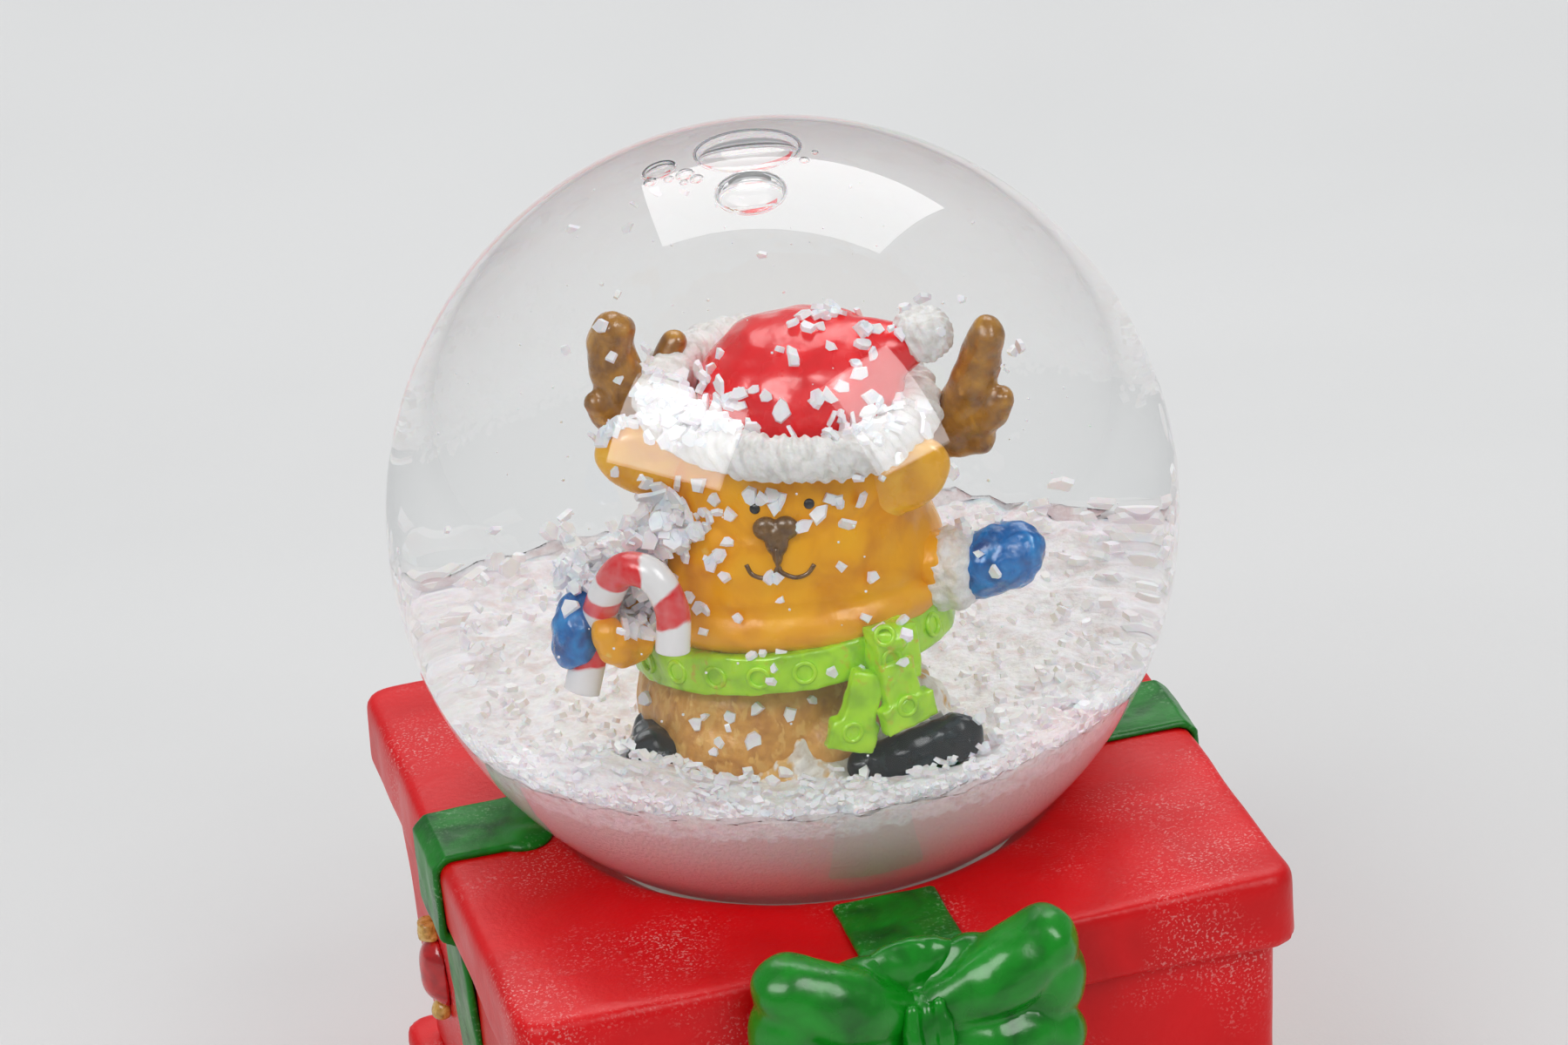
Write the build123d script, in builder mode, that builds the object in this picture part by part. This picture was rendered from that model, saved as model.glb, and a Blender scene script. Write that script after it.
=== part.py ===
from build123d import *
import math
import os

# Snow globe on a wrapped gift box, millimetres, +Z up.
# The bow is on the front (-Y). The origin is on the table, under the axis of the ball.

# ---- driving dimensions: the box ------------------------------------------------
LID_SIZE = 44.6
LID_HEIGHT = 4.6
LID_CORNER = 1.8
LID_EDGE = 0.7
BOX_TOP = 25.0
BODY_TOP_Z = BOX_TOP - LID_HEIGHT
FOOT_SIZE = 44.6
FOOT_HEIGHT = 1.8
BODY_TOP_SIZE = 42.6
BODY_BOTTOM_SIZE = 41.2
BODY_CORNER = 1.4
BODY_WALL = 2.6

# ---- driving dimensions: ribbon and bow -----------------------------------------
RIBBON_WIDTH = 6.0
RIBBON_THICK = 0.5
RIBBON_EDGE = 0.18
RIBBON_INNER = 16.2
RIBBON_LEFT_SHIFT = 0.9
RIBBON_RIGHT_SHIFT = -0.4
BOW_CENTRE_X = -0.5
BOW_CENTRE_Z = 21.6
BOW_BACK_Y = -22.7
KNOT_HALF_HEIGHT = 2.6
KNOT_RADIUS = 2.2
# each station of a loop: distance from the knot, height, depth, lift
LOOP_STATIONS = (
    (1.0, 3.2, 2.6, 0.0),
    (4.0, 8.2, 4.4, 0.6),
    (7.4, 10.4, 4.2, 0.9),
    (9.4, 8.0, 2.2, 0.9),
)
TAIL_WIDTH = 4.4
TAIL_THICK = 1.1
TAIL_LENGTH = 13.0

# ---- driving dimensions: raised ornaments on the sides of the box -----------------
BAUBLE_OFFSET = 11.5
BAUBLE_Z = 10.8
BAUBLE_HALF_HEIGHT = 2.5
BAUBLE_RADIUS = 1.9
BAUBLE_SINK = 0.6
CAP_RADIUS = 0.75
CAP_SINK = -0.35
CAP_HEIGHT = 1.1
DROP_RADIUS = 0.7

# ---- driving dimensions: the ball -----------------------------------------------
BALL_OUTER = 22.5
BALL_WALL = 1.2
BALL_CENTRE_Z = 42.0
BALL_INNER = BALL_OUTER - BALL_WALL
DISH_GAP = 0.35
NECK_OUTER = 11.0
NECK_WALL = 1.2
NECK_END_Z = 16.4
NECK_CLEAR = 0.3
STOPPER_TOP_Z = 23.6
GLUE_TOP_Z = 23.2
STOPPER_FLANGE = 10.9
STOPPER_FLANGE_HEIGHT = 1.6

# ---- driving dimensions: snow and water -----------------------------------------
BED_Z = 31.6
BED_DISH = 180.0
MOUND_TOP_Z = 31.8
MOUND_TOP_RADIUS = 6.2
MOUND_BASE_RADIUS = 8.6
BUBBLE_DEPTH = 0.8
FIGURE_ROOM_RADIUS = 12.4
FIGURE_ROOM_TOP = 54.0
FLAKE_COUNT = 36
FLAKE_THICK = 0.3
FLAKE_SIZES = (0.45, 0.6, 0.75)

# ---- driving dimensions: the reindeer, in its own upright frame -------------------
# (x to the viewer's right, -y forward, z above the snow)
FIGURE_SHIFT_X = 0.3
FIGURE_TURN = -20.0
FIGURE_FLOOR_Z = 32.0
BODY_X = -0.3
HEAD_SPHERES = ((6.6, 8.6), (5.9, 11.4))
NECKLINE_Z = 4.3
BELLY_X = -1.0
BELLY_RADIUS = 5.9
BELLY_CENTRE_Z = 2.0
BELLY_BOTTOM_Z = -0.2
BRIM_RADIUS = 5.5
BRIM_TUBE = 1.25
BRIM_Z = 15.3
BRIM_TILT = 7.0
CROWN_Z = 14.7
CROWN_RADIUS = 5.0
POMPOM_RADIUS = 1.55
POMPOM_SPOT = Pos(6.6, 1.0, 18.1)
SCARF_HEIGHT = 1.8
SCARF_RADIUS = 6.7
SCARF_Z = 4.6
RING_RADIUS = 0.45
RING_WIRE = 0.12
RING_BEARINGS = (-150, -128, -108, -86, -15, 20, 60, 100, 140, 180)
ARM_RADIUS = 1.45
CUFF_RADIUS = 1.65
CUFF_LENGTH = 1.5
MITTEN_RADIUS = 1.5
MITTEN_LENGTH = 3.3
CANE_RADIUS = 0.8
EAR_RADIUS = 1.7
EAR_THICK = 1.3
SOLE_Z = 0.15

UPWARD = (Align.CENTER, Align.CENTER, Align.MIN)
DOWNWARD = (Align.CENTER, Align.CENTER, Align.MAX)

ball_centre = Pos(0, 0, BALL_CENTRE_Z)
figure_frame = Location((FIGURE_SHIFT_X, 0, FIGURE_FLOOR_Z), (0, 0, FIGURE_TURN))


def pill(place, half_length, radius, mode=Mode.ADD):
    """A round-ended pill along the local Z of a place."""
    reach = half_length - radius
    with Locations(place):
        Cylinder(radius, 2 * reach, mode=mode)
    with Locations(place * Pos(0, 0, reach), place * Pos(0, 0, -reach)):
        Sphere(radius, mode=mode)


def place_pill(centre, half_length, radius, turn=(0, 0, 0)):
    """A pill at a point of the reindeer's frame, its long axis turned away from upright."""
    pill(figure_frame * Location(centre, turn), half_length, radius)


def horn(start, end, start_radius, end_radius):
    """A tapered antler branch with rounded ends between two points."""
    axis = Vector(*end) - Vector(*start)
    root = figure_frame * Plane(origin=start, z_dir=axis).location
    tip = figure_frame * Pos(*end)
    with Locations(root):
        Cone(start_radius, end_radius, axis.length, align=UPWARD)
        Sphere(start_radius)
    with Locations(tip):
        Sphere(end_radius)


def subtract_all(*pieces):
    """Cut the finished neighbours away, so the new piece only touches them."""
    for piece in pieces:
        add(piece.part, mode=Mode.SUBTRACT)


# ---- box: foot, body, lid --------------------------------------------------------
with BuildPart() as box_foot:
    with BuildSketch(Plane.XY):
        RectangleRounded(FOOT_SIZE, FOOT_SIZE, LID_CORNER)
    extrude(amount=FOOT_HEIGHT)
    fillet(box_foot.edges().group_by(Axis.Z)[-1], radius=0.4)
    fillet(box_foot.edges().group_by(Axis.Z)[0], radius=0.3)
box_foot.part.label = "box_foot"

with BuildPart() as box_body:
    with BuildSketch(Plane.XY.offset(FOOT_HEIGHT)):
        RectangleRounded(BODY_BOTTOM_SIZE, BODY_BOTTOM_SIZE, BODY_CORNER)
    with BuildSketch(Plane.XY.offset(BODY_TOP_Z)):
        RectangleRounded(BODY_TOP_SIZE, BODY_TOP_SIZE, BODY_CORNER)
    loft()
    with BuildSketch(Plane.XY.offset(FOOT_HEIGHT)):
        RectangleRounded(BODY_BOTTOM_SIZE - 2 * BODY_WALL, BODY_BOTTOM_SIZE - 2 * BODY_WALL, BODY_CORNER)
    extrude(amount=BODY_TOP_Z - FOOT_HEIGHT, mode=Mode.SUBTRACT)
box_body.part.label = "box_body"

with BuildPart() as box_lid:
    with BuildSketch(Plane.XY.offset(BODY_TOP_Z)):
        RectangleRounded(LID_SIZE, LID_SIZE, LID_CORNER)
    extrude(amount=LID_HEIGHT)
    fillet(box_lid.edges().group_by(Axis.Z)[-1], radius=LID_EDGE)
    with Locations(ball_centre):
        Sphere(BALL_OUTER + DISH_GAP, mode=Mode.SUBTRACT)
    with Locations(Pos(0, 0, BODY_TOP_Z)):
        Cylinder(NECK_OUTER + NECK_CLEAR, 2 * LID_HEIGHT, mode=Mode.SUBTRACT)
box_lid.part.label = "box_lid"


# ---- ribbons: over the lid, down its skirt, in under it and down the body ---------
def ribbon(side_turn, shift):
    """One arm of the wrapped ribbon, drawn on +X and turned to its side."""
    lid_half = LID_SIZE / 2
    top_half = BODY_TOP_SIZE / 2
    bottom_half = BODY_BOTTOM_SIZE / 2
    outer = [
        (RIBBON_INNER, BOX_TOP - 1.0),
        (RIBBON_INNER, BOX_TOP + RIBBON_THICK),
        (lid_half - 0.3, BOX_TOP + RIBBON_THICK),
        (lid_half + RIBBON_THICK, BOX_TOP - 0.3),
        (lid_half + RIBBON_THICK, BODY_TOP_Z - 0.3),
        (top_half + RIBBON_THICK, BODY_TOP_Z - 0.9),
        (bottom_half + RIBBON_THICK, FOOT_HEIGHT),
        (bottom_half - 1.0, FOOT_HEIGHT),
        (top_half - 1.0, BODY_TOP_Z - 0.9),
        (lid_half - 2.0, BOX_TOP - 1.0),
    ]
    strip_plane = Plane(origin=(0, 0, 0), x_dir=(1, 0, 0), z_dir=(0, -1, 0))
    with BuildPart() as strip:
        with BuildSketch(strip_plane.offset(-shift)):
            with BuildLine():
                Polyline(*outer, close=True)
            make_face()
        extrude(amount=RIBBON_WIDTH / 2, both=True)
        beside = RIBBON_WIDTH / 2
        long_edges = strip.edges().filter_by(lambda e: e.length > 3)
        side_edges = long_edges.filter_by(lambda e: abs(abs(e.center().Y - shift) - beside) < 0.01)
        outside = side_edges.filter_by(
            lambda e: e.center().Z > BOX_TOP + 0.1
            or e.center().X > top_half + 0.1 - (BOX_TOP - e.center().Z) * 0.04
        )
        fillet(outside, radius=RIBBON_EDGE)
    with BuildPart() as arm:
        with Locations(Rot(0, 0, side_turn)):
            add(strip.part)
        subtract_all(box_lid, box_body, box_foot)
    return arm


ribbon_right = ribbon(0, RIBBON_RIGHT_SHIFT)
ribbon_right.part.label = "ribbon_right"
ribbon_back = ribbon(90, 0.0)
ribbon_back.part.label = "ribbon_back"
ribbon_left = ribbon(180, -RIBBON_LEFT_SHIFT)
ribbon_left.part.label = "ribbon_left"
ribbon_front = ribbon(270, 0.0)
ribbon_front.part.label = "ribbon_front"


# ---- bow on the front: knot, two puffed loops, two tails ---------------------------
def bow_plane(x, depth, lift):
    """The upright plane of one cross-section, centred so that its back lies on the ribbon."""
    return Plane(
        origin=(BOW_CENTRE_X + x, BOW_BACK_Y - depth / 2, BOW_CENTRE_Z + lift),
        x_dir=(0, 1, 0),
        z_dir=(1, 0, 0),
    )


def bow_loop(side):
    """A loop that swells away from the knot and closes at its outer end."""
    with BuildPart() as loop:
        for out, height, depth, lift in LOOP_STATIONS:
            with BuildSketch(bow_plane(side * out, depth, lift)):
                RectangleRounded(depth, height, min(depth, height) * 0.42)
        loft()
        pocket = Location((BOW_CENTRE_X + side * 5.0, BOW_BACK_Y - 4.9, BOW_CENTRE_Z + 4.4), (0, 90, 0))
        pill(pocket, 3.2, 1.2, mode=Mode.SUBTRACT)
        subtract_all(bow_knot, box_lid, ribbon_front)
    return loop


def bow_tail(side):
    """A flat tail that hangs from the knot, turned outward, with a notched end."""
    hang = Plane(
        origin=(BOW_CENTRE_X + side * 1.0, BOW_BACK_Y, BOW_CENTRE_Z - 1.0),
        x_dir=(math.cos(math.radians(side * 20)), 0, math.sin(math.radians(side * 20))),
        z_dir=(0, -1, 0),
    )
    half = TAIL_WIDTH / 2
    outline = [
        (-half * 0.55, 0),
        (-half, -TAIL_LENGTH),
        (0, -TAIL_LENGTH + 1.8),
        (half, -TAIL_LENGTH),
        (half * 0.55, 0),
    ]
    with BuildPart() as tail:
        with BuildSketch(hang):
            with BuildLine():
                Polyline(*outline, close=True)
            make_face()
        extrude(amount=TAIL_THICK)
        fillet(tail.faces().sort_by(Axis.Y)[0].edges(), radius=0.35)
        subtract_all(bow_knot, bow_loop_left, bow_loop_right, box_lid, ribbon_front)
    return tail


with BuildPart() as bow_knot:
    pill(Pos(BOW_CENTRE_X, BOW_BACK_Y - KNOT_RADIUS * 0.8, BOW_CENTRE_Z), KNOT_HALF_HEIGHT, KNOT_RADIUS)
    subtract_all(box_lid, ribbon_front)
bow_knot.part.label = "bow_knot"

bow_loop_left = bow_loop(-1)
bow_loop_left.part.label = "bow_loop_left"
bow_loop_right = bow_loop(1)
bow_loop_right.part.label = "bow_loop_right"
bow_tail_left = bow_tail(-1)
bow_tail_left.part.label = "bow_tail_left"
bow_tail_right = bow_tail(1)
bow_tail_right.part.label = "bow_tail_right"


# ---- ornaments: a bauble with a gold cap and drop on each half of each side --------
def ornament_spots(height, sink):
    """Where the ornaments sit on the four leaning sides of the body, at one height."""
    lean = (BODY_TOP_SIZE - BODY_BOTTOM_SIZE) / 2 / (BODY_TOP_Z - FOOT_HEIGHT)
    face = BODY_BOTTOM_SIZE / 2 + lean * (height - FOOT_HEIGHT)
    return [
        Rot(0, 0, 90 * side) * Pos(face - sink, half * BAUBLE_OFFSET, height)
        for side in range(4)
        for half in (-1, 1)
    ]


with BuildPart() as side_baubles:
    for spot in ornament_spots(BAUBLE_Z, BAUBLE_SINK):
        pill(spot, BAUBLE_HALF_HEIGHT, BAUBLE_RADIUS)
    subtract_all(box_body)
side_baubles.part.label = "side_baubles"

with BuildPart() as bauble_caps:
    with Locations(*ornament_spots(BAUBLE_Z + BAUBLE_HALF_HEIGHT + 0.3, CAP_SINK)):
        Cylinder(CAP_RADIUS, CAP_HEIGHT)
    with Locations(*ornament_spots(BAUBLE_Z - BAUBLE_HALF_HEIGHT - 0.3, CAP_SINK)):
        Sphere(DROP_RADIUS)
    subtract_all(box_body, side_baubles)
bauble_caps.part.label = "bauble_caps"


# ---- the ball: glass, stopper, glue ------------------------------------------------
with BuildPart() as glass_ball:
    with Locations(ball_centre):
        Sphere(BALL_OUTER)
    neck_height = BALL_CENTRE_Z - NECK_END_Z
    with Locations(Pos(0, 0, NECK_END_Z)):
        Cylinder(NECK_OUTER, neck_height - 10, align=UPWARD)
    with Locations(ball_centre):
        Sphere(BALL_INNER, mode=Mode.SUBTRACT)
    with Locations(Pos(0, 0, NECK_END_Z)):
        Cylinder(NECK_OUTER - NECK_WALL, 8, align=UPWARD, mode=Mode.SUBTRACT)
glass_ball.part.label = "glass_ball"

with BuildPart() as rubber_stopper:
    with Locations(Pos(0, 0, NECK_END_Z)):
        Cylinder(NECK_OUTER - NECK_WALL, STOPPER_TOP_Z - NECK_END_Z, align=UPWARD)
        Cylinder(STOPPER_FLANGE, STOPPER_FLANGE_HEIGHT, align=DOWNWARD)
    subtract_all(glass_ball)
rubber_stopper.part.label = "rubber_stopper"

with BuildPart() as glue_ring:
    with Locations(ball_centre):
        Sphere(BALL_OUTER + DISH_GAP)
        Sphere(BALL_OUTER, mode=Mode.SUBTRACT)
    with Locations(Pos(0, 0, BODY_TOP_Z)):
        Cylinder(13.6, 60, align=UPWARD, mode=Mode.INTERSECT)
        Cylinder(NECK_OUTER + NECK_CLEAR, 60, mode=Mode.SUBTRACT)
    with Locations(Pos(0, 0, GLUE_TOP_Z)):
        Box(60, 60, 60, align=UPWARD, mode=Mode.SUBTRACT)
glue_ring.part.label = "glue_ring"


# ---- the figure's mound ------------------------------------------------------------
def mound_form(mode=Mode.ADD):
    """The cone that stands on the stopper and carries the figure."""
    with Locations(Pos(0, 0, STOPPER_TOP_Z)):
        Cone(
            MOUND_BASE_RADIUS,
            MOUND_TOP_RADIUS,
            MOUND_TOP_Z - STOPPER_TOP_Z,
            align=UPWARD,
            mode=mode,
        )


with BuildPart() as figure_mound:
    mound_form()
figure_mound.part.label = "figure_mound"


# ---- head and belly ------------------------------------------------------------------
def head_form(mode=Mode.ADD):
    """The two spheres that make the head and chest."""
    for radius, height in HEAD_SPHERES:
        with Locations(figure_frame * Pos(BODY_X, 0, height)):
            Sphere(radius, mode=mode)


def brim_form(mode=Mode.ADD):
    """The fur roll round the hat."""
    with Locations(figure_frame * Location((0.4, -0.2, BRIM_Z), (0, BRIM_TILT, 0))):
        Torus(BRIM_RADIUS, BRIM_TUBE, mode=mode)


def keep_between(bottom, top):
    """Trim the piece flat below and above, at two heights of the reindeer's frame."""
    with Locations(figure_frame * Pos(0, 0, bottom)):
        Box(60, 60, top - bottom, align=UPWARD, mode=Mode.INTERSECT)


with BuildPart() as reindeer_head:
    head_form()
    keep_between(NECKLINE_Z, 40)
reindeer_head.part.label = "reindeer_head"

with BuildPart() as reindeer_belly:
    with Locations(figure_frame * Pos(BELLY_X, 0, BELLY_CENTRE_Z)):
        Sphere(BELLY_RADIUS)
    keep_between(BELLY_BOTTOM_Z, NECKLINE_Z)
reindeer_belly.part.label = "reindeer_belly"

# ---- hat ---------------------------------------------------------------------------
with BuildPart() as hat_brim:
    brim_form()
    head_form(mode=Mode.SUBTRACT)
hat_brim.part.label = "hat_brim"

with BuildPart() as hat_crown:
    with Locations(figure_frame * Pos(1.0, 0.2, CROWN_Z)):
        Sphere(CROWN_RADIUS)
    keep_between(BRIM_Z, 40)
    brim_form(mode=Mode.SUBTRACT)
    head_form(mode=Mode.SUBTRACT)
hat_crown.part.label = "hat_crown"

with BuildPart() as hat_pompom:
    with Locations(figure_frame * POMPOM_SPOT):
        Sphere(POMPOM_RADIUS)
hat_pompom.part.label = "hat_pompom"

# ---- antlers and ears ---------------------------------------------------------------
with BuildPart() as antler_left:
    horn((-5.2, 0.6, 13.4), (-7.3, 0.9, 18.4), 1.25, 1.05)
    horn((-6.3, 0.6, 15.0), (-8.0, 0.3, 15.2), 0.9, 0.65)
    horn((-6.6, 0.9, 16.4), (-4.9, 2.2, 18.2), 0.6, 0.55)
    brim_form(mode=Mode.SUBTRACT)
    head_form(mode=Mode.SUBTRACT)
antler_left.part.label = "antler_left"

with BuildPart() as antler_right:
    horn((6.0, 1.6, 12.2), (9.6, 1.2, 18.0), 1.25, 1.0)
    horn((7.6, 1.4, 13.4), (9.5, 0.9, 14.6), 0.95, 0.7)
    brim_form(mode=Mode.SUBTRACT)
    head_form(mode=Mode.SUBTRACT)
    with Locations(figure_frame * POMPOM_SPOT):
        Sphere(POMPOM_RADIUS, mode=Mode.SUBTRACT)
antler_right.part.label = "antler_right"


def ear(centre, lean):
    """A flat rounded ear that faces forward and grows out of the head."""
    with BuildPart() as flap:
        with Locations(figure_frame * Location(centre, (90, 0, 0)) * Rot(0, lean, 0)):
            Cylinder(EAR_RADIUS, EAR_THICK)
        fillet(flap.edges().filter_by(GeomType.CIRCLE), radius=0.45)
        head_form(mode=Mode.SUBTRACT)
        brim_form(mode=Mode.SUBTRACT)
    return flap


ear_left = ear((-6.3, -1.4, 12.6), -10)
ear_left.part.label = "ear_left"
ear_right = ear((6.2, -1.4, 11.9), 10)
ear_right.part.label = "ear_right"

# ---- face ----------------------------------------------------------------------------
with BuildPart() as nose:
    place_pill((0.15, -5.75, 11.2), 0.95, 0.7, (0, 90, 0))
    head_form(mode=Mode.SUBTRACT)
nose.part.label = "nose"

with BuildPart() as eyes:
    for x in (-0.9, 1.5):
        with Locations(figure_frame * Pos(x, -5.6, 12.6)):
            Sphere(0.34)
    head_form(mode=Mode.SUBTRACT)
eyes.part.label = "eyes"

# ---- scarf: band, knot, two tails, ring dots --------------------------------------------
with BuildPart() as scarf_band:
    with Locations(figure_frame * Pos(BODY_X, 0, SCARF_Z)):
        Cylinder(SCARF_RADIUS, SCARF_HEIGHT)
    head_form(mode=Mode.SUBTRACT)
    with Locations(figure_frame * Pos(BELLY_X, 0, BELLY_CENTRE_Z)):
        Sphere(BELLY_RADIUS, mode=Mode.SUBTRACT)
scarf_band.part.label = "scarf_band"


def knot_form(mode=Mode.ADD):
    """The pill of the scarf's knot."""
    pill(figure_frame * Pos(4.6, -5.3, 5.3), 1.6, 1.0, mode=mode)


def inside_scarf():
    """Cut away whatever lies inside the outer face of the scarf."""
    with Locations(figure_frame * Pos(BODY_X, 0, SCARF_Z)):
        Cylinder(SCARF_RADIUS, 3 * SCARF_HEIGHT, mode=Mode.SUBTRACT)


with BuildPart() as scarf_knot:
    knot_form()
    inside_scarf()
scarf_knot.part.label = "scarf_knot"


def scarf_tail(centre, length, turn, lean):
    """A short slab with rounded corners that falls from the knot."""
    with BuildPart() as tail:
        with Locations(figure_frame * Location(centre, (0, 0, turn)) * Rot(0, lean, 0)):
            Box(1.9, 0.8, length)
        fillet(tail.edges().filter_by(lambda e: abs(e.length - 0.8) < 0.01), radius=0.5)
        knot_form(mode=Mode.SUBTRACT)
        inside_scarf()
    return tail


scarf_tail_long = scarf_tail((5.1, -5.6, 3.3), 2.5, 40, -8)
scarf_tail_long.part.label = "scarf_tail_long"
scarf_tail_short = scarf_tail((2.9, -6.6, 2.7), 3.4, 20, 12)
scarf_tail_short.part.label = "scarf_tail_short"

with BuildPart() as scarf_rings:
    for bearing in RING_BEARINGS:
        seat = Rot(0, 0, bearing) * Location((SCARF_RADIUS, 0, 0), (0, 90, 0))
        with BuildSketch(Plane(figure_frame * Pos(BODY_X, 0, SCARF_Z) * seat)):
            Circle(RING_RADIUS)
            Circle(RING_RADIUS - RING_WIRE, mode=Mode.SUBTRACT)
    extrude(amount=RING_WIRE)
scarf_rings.part.label = "scarf_rings"


# ---- arms: sleeve, cuff and mitten share one axis and meet at flat faces ------------------
def arm_parts(shoulder, hand, reach):
    """Sleeve, cuff and mitten of one arm, in line from the shoulder toward the hand."""
    axis = Vector(*hand) - Vector(*shoulder)
    along = figure_frame * Plane(origin=shoulder, z_dir=axis).location
    with BuildPart() as sleeve:
        with Locations(along):
            Cylinder(ARM_RADIUS, reach, align=UPWARD)
        head_form(mode=Mode.SUBTRACT)
    with BuildPart() as cuff:
        with Locations(along * Pos(0, 0, reach)):
            Cylinder(CUFF_RADIUS, CUFF_LENGTH, align=UPWARD)
        fillet(cuff.edges().filter_by(GeomType.CIRCLE), radius=0.4)
    straight = MITTEN_LENGTH - MITTEN_RADIUS
    with BuildPart() as mitten:
        with Locations(along * Pos(0, 0, reach + CUFF_LENGTH)):
            Cylinder(MITTEN_RADIUS, straight, align=UPWARD)
        with Locations(along * Pos(0, 0, reach + CUFF_LENGTH + straight)):
            Sphere(MITTEN_RADIUS)
        with Locations(along * Pos(0, 0, reach + CUFF_LENGTH)):
            Box(9, 9, 9, align=DOWNWARD, mode=Mode.SUBTRACT)
    return sleeve, cuff, mitten


arm_right, cuff_right, mitten_right = arm_parts((4.0, -0.6, 7.4), (9.0, -0.8, 7.9), 2.5)
arm_left, cuff_left, mitten_left = arm_parts((-4.0, -1.0, 8.2), (-8.6, -3.0, 6.6), 3.2)
arm_right.part.label = "arm_right"
cuff_right.part.label = "cuff_right"
mitten_right.part.label = "mitten_right"
arm_left.part.label = "arm_left"
cuff_left.part.label = "cuff_left"
mitten_left.part.label = "mitten_left"

# ---- candy cane and the paw that holds it ---------------------------------------------------
cane_points = [
    (-5.2, -7.6, 6.6),
    (-5.1, -7.6, 8.6),
    (-6.1, -7.5, 10.2),
    (-7.4, -7.1, 9.7),
    (-8.1, -6.6, 8.0),
    (-9.0, -5.8, 3.7),
]
with BuildPart() as candy_cane:
    with BuildLine() as cane_path:
        Spline(*[(figure_frame * Pos(*point)).position for point in cane_points])
    with BuildSketch(Plane(origin=cane_path.wires()[0] @ 0, z_dir=cane_path.wires()[0] % 0)):
        Circle(CANE_RADIUS)
    sweep(path=cane_path.wires()[0])
candy_cane.part.label = "candy_cane"

with BuildPart() as paw:
    with Locations(figure_frame * Pos(-7.9, -5.0, 6.2)):
        Sphere(1.15)
    subtract_all(candy_cane, mitten_left)
paw.part.label = "paw"

# ---- boots -----------------------------------------------------------------------------------
with BuildPart() as boot_right:
    place_pill((5.4, -5.0, 0.5), 2.6, 1.15, (0, 76, 0))
    keep_between(SOLE_Z, 5)
    with Locations(figure_frame * Pos(BELLY_X, 0, BELLY_CENTRE_Z)):
        Sphere(BELLY_RADIUS, mode=Mode.SUBTRACT)
boot_right.part.label = "boot_right"

with BuildPart() as boot_left:
    place_pill((-6.2, -2.9, 0.4), 2.0, 1.1, (90, 0, 0))
    keep_between(SOLE_Z, 5)
    with Locations(figure_frame * Pos(BELLY_X, 0, BELLY_CENTRE_Z)):
        Sphere(BELLY_RADIUS, mode=Mode.SUBTRACT)
boot_left.part.label = "boot_left"

figure_pieces = [
    figure_mound, reindeer_belly, reindeer_head, hat_brim, hat_crown, hat_pompom,
    antler_left, antler_right, ear_left, ear_right, nose, eyes,
    scarf_band, scarf_knot, scarf_tail_long, scarf_tail_short, scarf_rings,
    arm_right, cuff_right, mitten_right, arm_left, cuff_left, mitten_left, paw, candy_cane,
    boot_right, boot_left,
]

# ---- snow bed, loose flakes and water ---------------------------------------------------------
with BuildPart() as snow_bed:
    with Locations(ball_centre):
        Sphere(BALL_INNER)
    with Locations(Pos(0, 0, BED_Z + BED_DISH)):
        Sphere(BED_DISH, mode=Mode.SUBTRACT)
    with Locations(Pos(0, 0, STOPPER_TOP_Z)):
        Cylinder(NECK_OUTER - NECK_WALL, 20, align=DOWNWARD, mode=Mode.SUBTRACT)
    mound_form(mode=Mode.SUBTRACT)
snow_bed.part.label = "snow_bed"


def flake_spot(index):
    """A seat for one loose flake on an even spiral through the upper water."""
    share = (index + 0.5) / FLAKE_COUNT
    bearing = math.radians(137.5 * index)
    height = BALL_CENTRE_Z - 5 + 20 * share
    reach = math.sqrt(BALL_INNER**2 - (height - BALL_CENTRE_Z) ** 2) - 2.2
    spot = (reach * math.cos(bearing), reach * math.sin(bearing), height)
    return Location(spot, (37 * index, 53 * index, 0))


with BuildPart() as snow_flakes:
    for index in range(FLAKE_COUNT):
        with BuildSketch(Plane(flake_spot(index))):
            RegularPolygon(FLAKE_SIZES[index % 3], 5 + index % 2)
    extrude(amount=FLAKE_THICK)
snow_flakes.part.label = "snow_flakes"

with BuildPart() as water:
    with Locations(ball_centre):
        Sphere(BALL_INNER)
    with Locations(Pos(0, 0, BALL_CENTRE_Z + BALL_INNER - BUBBLE_DEPTH)):
        Box(50, 50, 10, align=UPWARD, mode=Mode.SUBTRACT)
    with Locations(Pos(0, 0, BED_Z + BED_DISH)):
        Sphere(BED_DISH, mode=Mode.INTERSECT)
    with Locations(Pos(0, 0, FIGURE_ROOM_TOP)):
        Cylinder(FIGURE_ROOM_RADIUS, 40, align=DOWNWARD, mode=Mode.SUBTRACT)
    subtract_all(snow_flakes)
water.part.label = "water"

# ---- write every piece --------------------------------------------------------------------------
pieces = [
    box_foot, box_body, box_lid, ribbon_front, ribbon_right, ribbon_back, ribbon_left,
    bow_knot, bow_loop_left, bow_loop_right, bow_tail_left, bow_tail_right, side_baubles, bauble_caps,
    glass_ball, rubber_stopper, glue_ring, water, snow_bed, snow_flakes, *figure_pieces,
]
os.makedirs("parts", exist_ok=True)
for piece in pieces:
    export_step(piece.part, f"parts/{piece.part.label}.step")
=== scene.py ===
import math
import random

import bmesh
import bpy
from mathutils import Euler, Matrix, Vector, noise
from mathutils.bvhtree import BVHTree


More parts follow.
